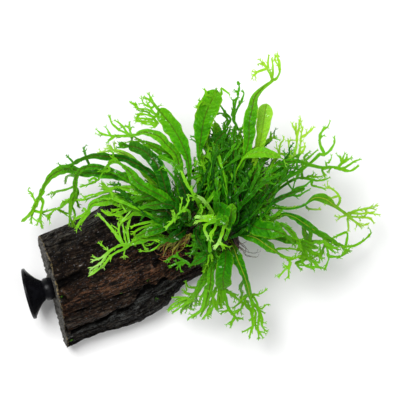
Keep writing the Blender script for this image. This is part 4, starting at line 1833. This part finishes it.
    def front_roots(self, rng: random.Random, young: LeafMesh, rusty: LeafMesh) -> None:
        """Grows the tuft that hangs over the wood in front, and the curls below it.

        Args:
            rng: the roots' own chance.
            young: the mesh of the olive ones.
            rusty: the mesh of the orange ones.
        """
        for k in range(self.tuft):
            start = self.spot(rng, self.tuft_area)
            run = rng.uniform(*self.tuft_sizes)
            end = step_from(start, math.radians(rng.uniform(*self.tuft_ways)), run)
            bow = rng.uniform(-3.0, 3.0)
            middle = halfway(start, end, bow, bow)
            high = 78 + rng.uniform(0, 5)
            target = rusty if k % 4 == 0 else young
            target.add(self.root(rng, [start, middle, end], [high, high + rng.uniform(-1, 3), 72],
                                 rng.uniform(0.7, 1.4), 0.3))
            if k % 2:
                fork = (middle[0] - rng.uniform(2, 7), middle[1] + rng.uniform(-2, 7))
                target.add(self.root(rng, [middle, halfway(middle, fork, 0, 1), fork], [high, high, 73],
                                     rng.uniform(0.45, 0.7), 0.3))
        for _ in range(self.curls):
            x, y = self.spot(rng, self.curls_area)
            turn, size = rng.uniform(0, math.tau), rng.uniform(*self.curl_sizes)
            middle = (x + size * math.cos(turn), y + size * math.sin(turn) * 0.6)
            end = (x + size * 1.6 * math.cos(turn + 0.6), y + size * math.sin(turn + 0.6))
            rusty.add(self.root(rng, [(x, y), middle, end], [74, 75, 72], rng.uniform(0.30, 0.55), 0.5))

    def old_roots(self, rng: random.Random, hairs: LeafMesh) -> None:
        """Grows hairs that creep over the wood, and the felt of dead ones between the stipes.

        Args:
            rng: the roots' own chance.
            hairs: the mesh.
        """
        for _ in range(self.creepers):
            at = rng.choice(self.rhizome.route)
            turn, size = rng.uniform(0, math.tau), rng.uniform(*self.creeper_sizes)
            route = [at, step_from(at, turn + 0.4, size * 0.5), step_from(at, turn, size)]
            hairs.add(self.root(rng, route, [76, 74, 70], rng.uniform(0.22, 0.42), 0.95))
        for _ in range(self.felt):
            x, y = rng.choice(self.rhizome.route[2:6])
            at = (x + rng.uniform(-6, 9), y + rng.uniform(-17, 3))
            turn, size = rng.uniform(0, math.tau), rng.uniform(*self.felt_sizes)
            route = [at, step_from(at, turn, size), step_from(at, turn + 0.7, size * 1.5)]
            hairs.add(self.root(rng, route, [86, 90 + rng.uniform(-4, 5), 86], rng.uniform(0.22, 0.36)))
        for _ in range(self.crown_felt):
            at = self.spot(rng, self.crown_area)
            turn, size = rng.uniform(0, math.tau), rng.uniform(*self.crown_sizes)
            route = [at, step_from(at, turn, size), step_from(at, turn + 0.5, size * 1.6)]
            hairs.add(self.root(rng, route, [97, 99 + rng.uniform(-3, 3), 96], rng.uniform(0.35, 0.6)))
        for _ in range(self.runners):
            dx, dy = rng.uniform(-2.5, 2.5), rng.uniform(-2.5, 2.5)
            route = [(x + dx, y + dy) for x, y in self.runner[:rng.randint(4, 6)]]
            hairs.add(self.root(rng, route, [74, 72, 68], 0.42))

    def roots(self) -> None:
        """All roots, as one piece for each finish."""
        rng = random.Random(self.seeds[1])
        young, rusty, hairs = LeafMesh(rng), LeafMesh(rng), LeafMesh(rng)
        self.front_roots(rng, young, rusty)
        self.old_roots(rng, hairs)
        for name, leaves, finish in (
                ("root_tuft", young, self.young_skin),
                ("root_tuft_rusty", rusty, self.rusty_skin),
                ("root_hairs", hairs, self.old_skin)):
            add_object(name, leaves.mesh(name, finish.material()), "rhizome")


@dataclass(frozen=True)
class Thicket:
    """A patch of the clump and the small leaves whose tips fill it."""

    middle: Pixel
    reach: tuple[float, float]  # pixels
    turn: float  # radians, how the patch leans in the picture
    count: int
    feet: tuple[float, float]  # shares of the rhizome
    heights: tuple[float, float]  # mm
    widths: tuple[float, ...]  # mm
    strands: tuple[int, int]
    weights: tuple[int, int, int, int] = (5, 5, 3, 0)  # deep, dark, mid and light
    bend: float = 7.0  # pixels, the most that a leaf's middle lies beside its straight way


@dataclass
class InnerLeaves:
    """Young and shaded leaves that fill the clump between the fronds."""

    builder: FernBuilder
    seed: int = 77
    fill: float = 0.8  # of a thicket's reach, that its tips take
    fans: float = 0.85  # radians, how far a strand may turn from its leaf's way
    strand_sizes: Span = (5.0, 14.0)  # pixels
    strand_bends: Span = (0.2, 0.7)  # radians
    strand_widths: Span = (1.3, 2.2)  # mm
    thickets: tuple[Thicket, ...] = (
        Thicket((232, 176), (41, 29), 0.0, 80, (0.30, 0.95), (80, 102), (0.9, 1.2, 1.6, 2.2, 3.0), (4, 7),
                (8, 5, 2, 1), bend=24.0),
        Thicket((222, 168), (34, 24), 0.2, 40, (0.30, 0.90), (90, 104), (0.9, 1.2, 1.5), (3, 5), (5, 5, 2, 1),
                bend=24.0),
        Thicket((246, 156), (26, 20), 0.3, 26, (0.60, 0.95), (78, 94), (1.2, 1.5, 2.0), (4, 7), (2, 6, 4, 0)),
        Thicket((282, 172), (26, 17), -0.5, 14, (0.70, 0.98), (82, 100), (1.0, 1.2, 1.6), (4, 6),
                (3, 6, 3, 0), bend=12.0),
        Thicket((254, 204), (15, 11), 0.2, 26, (0.60, 0.98), (84, 98), (1.0, 1.4, 2.0), (4, 7), (7, 5, 1, 0),
                bend=12.0),
        Thicket((172, 206), (26, 17), 0.5, 36, (0.06, 0.50), (79, 90), (1.5, 2.2, 3.4, 4.6), (3, 6),
                (9, 4, 0, 0), bend=12.0),
        Thicket((128, 200), (20, 10), 0.2, 6, (0.05, 0.30), (80, 90), (1.4, 1.8), (4, 6), (1, 4, 5, 2)),
        Thicket((224, 150), (24, 13), 0.1, 24, (0.45, 0.90), (92, 106), (0.9, 1.2, 1.5), (4, 6), (2, 4, 6, 2),
                bend=14.0),
        Thicket((205, 245), (10, 15), 0.0, 26, (0.35, 0.90), (80, 94), (2.0, 3.0, 4.2), (3, 5), (5, 5, 2, 0)),
        Thicket((262, 216), (18, 10), 0.2, 14, (0.75, 0.98), (74, 90), (1.4, 2.0, 3.0), (3, 5), (3, 5, 2, 0)),
    )
    small: tuple[tuple[float, Frond], ...] = (  # leaves with a place of their own: the foot's share, the row
        (0.02, Frond([(168, 217), (158, 217), (148, 213.5)], (88, 86, 84), 4.0, Tone.DARK, crest=[
            strand(148, 213.5, 140, 212, 133, 209, w=3)])),
        (0.03, Frond([(164, 221), (150, 222)], (86, 84, 82), 2.0, Tone.MID, crest=[
            strand(150, 222, 140, 224, 130, 227)])),
        (0.01, Frond([(162, 224), (150, 225)], (85, 83, 81), 2.6, Tone.MID, crest=[
            strand(150, 225, 139, 229, 131, 235)])),
        (0.04, Frond([(170, 226), (158, 229), (147, 232), (138, 236.5)], (87, 86, 80), 7.0, Tone.MID,
                     shift=-0.9, crest=[
            strand(138, 236.5, 132, 241, w=4.5), strand(141, 239.5, 150, 240, 160, 240, w=1.8)])),
        (0.08, Frond([(176, 210), (165, 204), (155, 205), (146, 206)], (97, 98, 93), 7.0, Tone.DARK, crest=[
            strand(146, 206, 141, 208, 138, 206, w=3)])),
        (0.10, Frond([(176, 203), (162, 196), (149, 196), (138, 199)], (95, 94, 88), 6.0, Tone.DARK, crest=[
            strand(138, 199, 132, 203, 127, 206, w=3), strand(140, 198, 133, 197, 128, 199)])),
        (0.05, Frond([(170, 214), (160, 211), (150, 209)], (92, 91, 88), 6.0, Tone.DEEP, crest=[
            strand(150, 209, 145, 209, 140, 211, w=3)])),
        (0.03, Frond([(150, 216), (134, 214)], (84, 83, 80), 3.0, Tone.MID, crest=[
            strand(134, 214, 126, 219, 120, 218, w=4), strand(126, 219, 121, 223),
            strand(124, 219, 118, 215)])),
        (0.30, Frond([(188, 203), (184, 190), (180, 180), (177, 173)], (104, 110, 106), 8.5, Tone.DEEP,
                     blunt=True, crest=[
            strand(177, 174, 173, 171, w=3)])),
        (0.86, Frond([(256, 200), (266, 184), (271, 172), (273, 162)], (88, 94, 96), 4.2, Tone.LIGHT,
                     shift=0.4, crest=[
            strand(273, 162, 275, 156, w=2)])),
        (0.92, Frond([(262, 202), (272, 192), (279, 183), (285, 176)], (86, 90, 92), 4.4, Tone.MID,
                     blunt=True, crest=[
            strand(279, 183, 281, 178, w=1.5)])),
        (0.80, Frond([(248, 190), (254, 174), (260, 165), (265, 159)], (92, 99, 99), 5.0, Tone.DARK, crest=[
            strand(265, 159, 269, 156, w=1.6)])),
        (0.22, Frond([(190, 215), (187, 210), (182, 211)], (104, 113, 114), 2.0, Tone.LIGHT, fine=0.0,
                     shift=-0.4, crest=[
            strand(182, 211, 176, 216, 171, 222, 165.5, 227, w=1.9),
            strand(183, 210, 186.5, 206, 188.5, 200, 187.5, 194, w=1.7, milk=0.2),
            strand(180, 213, 180.5, 207, 181.8, 202, 181, 197, w=1.5),
            strand(175, 217, 174.5, 213, 172.5, 210, w=1.3)])),
        (0.55, Frond([(216, 186), (213, 168), (212, 153), (216, 141), (226, 131)], (88, 102, 106), 8.0,
                     Tone.DARK, blunt=True, light=0.5, shift=-0.4, crest=[
            strand(226, 131, 229, 127, w=2.5)])),
        (0.48, Frond([(208, 194), (212, 168), (215, 150), (217, 136), (215, 122)], (80, 88, 90), 6.5,
                     Tone.LIGHT, blunt=True, light=2.0, rib=-0.3, shift=1.2, crest=[
            strand(215, 122, 213, 118, w=1.5)])),
        (0.36, Frond([(200, 198), (201, 182), (203, 166), (200, 148)], (78, 84, 84), 6.5, Tone.LIGHT,
                     light=2.0, rib=-0.3, shift=1.2, crest=[
            strand(200, 148, 199, 144, w=2)])),
    )

    def leaf(self, thicket: Thicket, number: int, rng: random.Random, leaves: LeafMesh, tone: Tone) -> None:
        """Adds one small leaf with its crest to a mesh.

        Args:
            thicket: the patch that its tip is in.
            number: its number there.
            rng: the thicket's own chance.
            leaves: the mesh.
            tone: its colour.
        """
        turn, away = rng.uniform(0, math.tau), math.sqrt(rng.uniform(0.01, 1.0)) * self.fill
        dx, dy = thicket.reach[0] * away * math.cos(turn), thicket.reach[1] * away * math.sin(turn)
        cos, sin = math.cos(thicket.turn), math.sin(thicket.turn)
        tip = (thicket.middle[0] + dx * cos - dy * sin, thicket.middle[1] + dx * sin + dy * cos)
        low, high = thicket.feet
        share = low + (high - low) * (number + 0.5) / thicket.count
        root = curve_through(self.builder.rhizome.route, 100)[int(share * 99)]
        bend = thicket.bend
        middle = halfway(root, tip, rng.uniform(-bend, bend), rng.uniform(-bend, bend))
        start = (root[0] + (middle[0] - root[0]) * 0.3, root[1] + (middle[1] - root[1]) * 0.3)
        height = rng.uniform(*thicket.heights)
        frond = Frond([start, middle, tip], (height, height + rng.uniform(-6, 4), height - rng.uniform(0, 7)),
                      rng.choice(thicket.widths), tone, [strand()], light=rng.uniform(0.3, 0.95), rib=0.5,
                      twist=0.6, shift=rng.uniform(-0.35, 0.35))
        blade = self.builder.blade(frond, share, number, rng)
        leaves.add(blade[1])
        parents = [FernBuilder.tail(*blade, len(blade[0]) // 2)]
        way = math.atan2(tip[1] - middle[1], tip[0] - middle[0])
        for k in range(rng.randint(*thicket.strands)):
            base = tip if k < 2 else tuple(parents[rng.randrange(len(parents))][0][-rng.randint(2, 4)])
            lean = way + rng.uniform(-self.fans, self.fans)
            size = rng.uniform(*self.strand_sizes)
            bend = rng.choice((-1, 1)) * rng.uniform(*self.strand_bends)
            route = bent_route(base, lean, size, (-bend, bend, -bend))
            part = Strand(route, rng.uniform(*self.strand_widths))
            parents.append(self.builder.sprout(leaves, part, parents, frond, rng))

    def build(self) -> None:
        """All of them, one piece for each tone."""
        rng = random.Random(self.seed)
        groups = {tone: LeafMesh(rng) for tone in (Tone.DEEP, Tone.DARK, Tone.MID, Tone.LIGHT)}
        for number, (share, frond) in enumerate(self.small):
            self.builder.grow(groups[frond.tone], frond, share, number, rng)
        for thicket in self.thickets:
            for number in range(thicket.count):
                tone = rng.choices(list(groups), weights=thicket.weights)[0]
                self.leaf(thicket, number, rng, groups[tone], tone)
        for tone, leaves in groups.items():
            name = f"inner_leaves_{tone.name.lower()}"
            add_object(name, leaves.mesh(name, tone.value.material()), "fern_leaf")


# ---------------------------------------------------------------- studio


@dataclass
class Studio:
    """A pale floor, soft light and the camera straight above."""

    picture: Picture
    floor_size: float = 6.0  # m
    floor_drop: float = 0.0002  # m, so that the floor and the wood's underside aren't one plane
    floor_colour: Colour = (0.93, 0.93, 0.93)
    room_light: float = 0.34
    aim: Triple = (0.06, 0.03, 0.05)  # m, where both lamps point
    sensor: float = 36.0  # mm

    def floor(self) -> None:
        """The surface the wood lies on."""
        bpy.ops.object.select_all(action="DESELECT")
        bpy.ops.mesh.primitive_plane_add(size=self.floor_size, location=(0.0, 0.0, -self.floor_drop))
        floor = bpy.context.object
        floor.name = "floor"
        made, g, shader = new_material("pale floor")
        g.feed_all(shader, {"Base Color": self.floor_colour, "Roughness": 0.9})
        floor.data.materials.append(made)

    def light(self, name: str, place: Triple, size: float, power: float) -> None:
        """One soft square lamp.

        Args:
            name: its name.
            place: where it stands, in metres.
            size: its side in metres.
            power: watts.
        """
        lamp = bpy.data.lights.new(name, "AREA")
        lamp.shape = "SQUARE"
        lamp.size = size
        lamp.energy = power
        stand = bpy.data.objects.new(name, lamp)
        stand.location = place
        stand.rotation_euler = (Vector(self.aim) - Vector(place)).to_track_quat("-Z", "Y").to_euler()
        bpy.context.scene.collection.objects.link(stand)

    def build(self) -> None:
        """Sets the scene."""
        self.floor()
        world = bpy.data.worlds.new("studio")
        world.use_nodes = True
        background = world.node_tree.nodes["Background"]
        background.inputs["Color"].default_value = (1.0, 1.0, 1.0, 1.0)
        background.inputs["Strength"].default_value = self.room_light
        scene = bpy.context.scene
        scene.world = world
        self.light("key", (-0.22, 0.55, 1.40), 0.70, 21.0)
        self.light("fill", (0.7, -0.5, 1.3), 1.0, 6.0)
        picture = self.picture
        camera = bpy.data.cameras.new("camera")
        camera.sensor_width = self.sensor
        away = picture.camera_height - picture.pixel_height
        camera.lens = self.sensor * away / (picture.pixel * picture.side)
        camera.clip_start = 0.05
        stand = bpy.data.objects.new("camera", camera)
        stand.location = Vector(picture.camera_place()) * MM
        stand.rotation_euler = (0.0, 0.0, -picture.turn)
        scene.collection.objects.link(stand)
        scene.camera = stand
        scene.view_settings.view_transform = "Standard"


def main() -> None:
    """Builds the part's pieces in order and reports each."""
    logging.basicConfig(level=logging.INFO, format="%(name)s: %(message)s")
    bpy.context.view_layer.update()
    picture = Picture()
    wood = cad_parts["driftwood"]
    cad_wood = bmesh.new()
    cad_wood.from_mesh(wood.data)
    cad_wood.transform(wood.matrix_world)
    plain_tree = BVHTree.FromBMesh(cad_wood)
    cad_wood.free()
    rhizome = Rhizome()
    line = rhizome.line(picture, plain_tree)
    carved = Driftwood(picture).build()
    SuctionCup().build()
    carved_tree = BVHTree.FromObject(carved, bpy.context.evaluated_depsgraph_get())
    stem = Stem(picture, rhizome, line, carved_tree)
    stem.build()
    stem.roots()
    builder = FernBuilder(picture, rhizome, line)
    for number, frond in enumerate(FRONDS):
        name = f"frond_{number + 1:02d}"
        mesh = builder.build(f"{name}_leaf", frond, (number + 0.5) / len(FRONDS), number)
        add_object(f"{name}_leaf", mesh, "fern_leaf", name)
    InnerLeaves(builder).build()
    Studio(picture).build()
    bpy.context.view_layer.update()


if __name__ == "__main__":
    main()
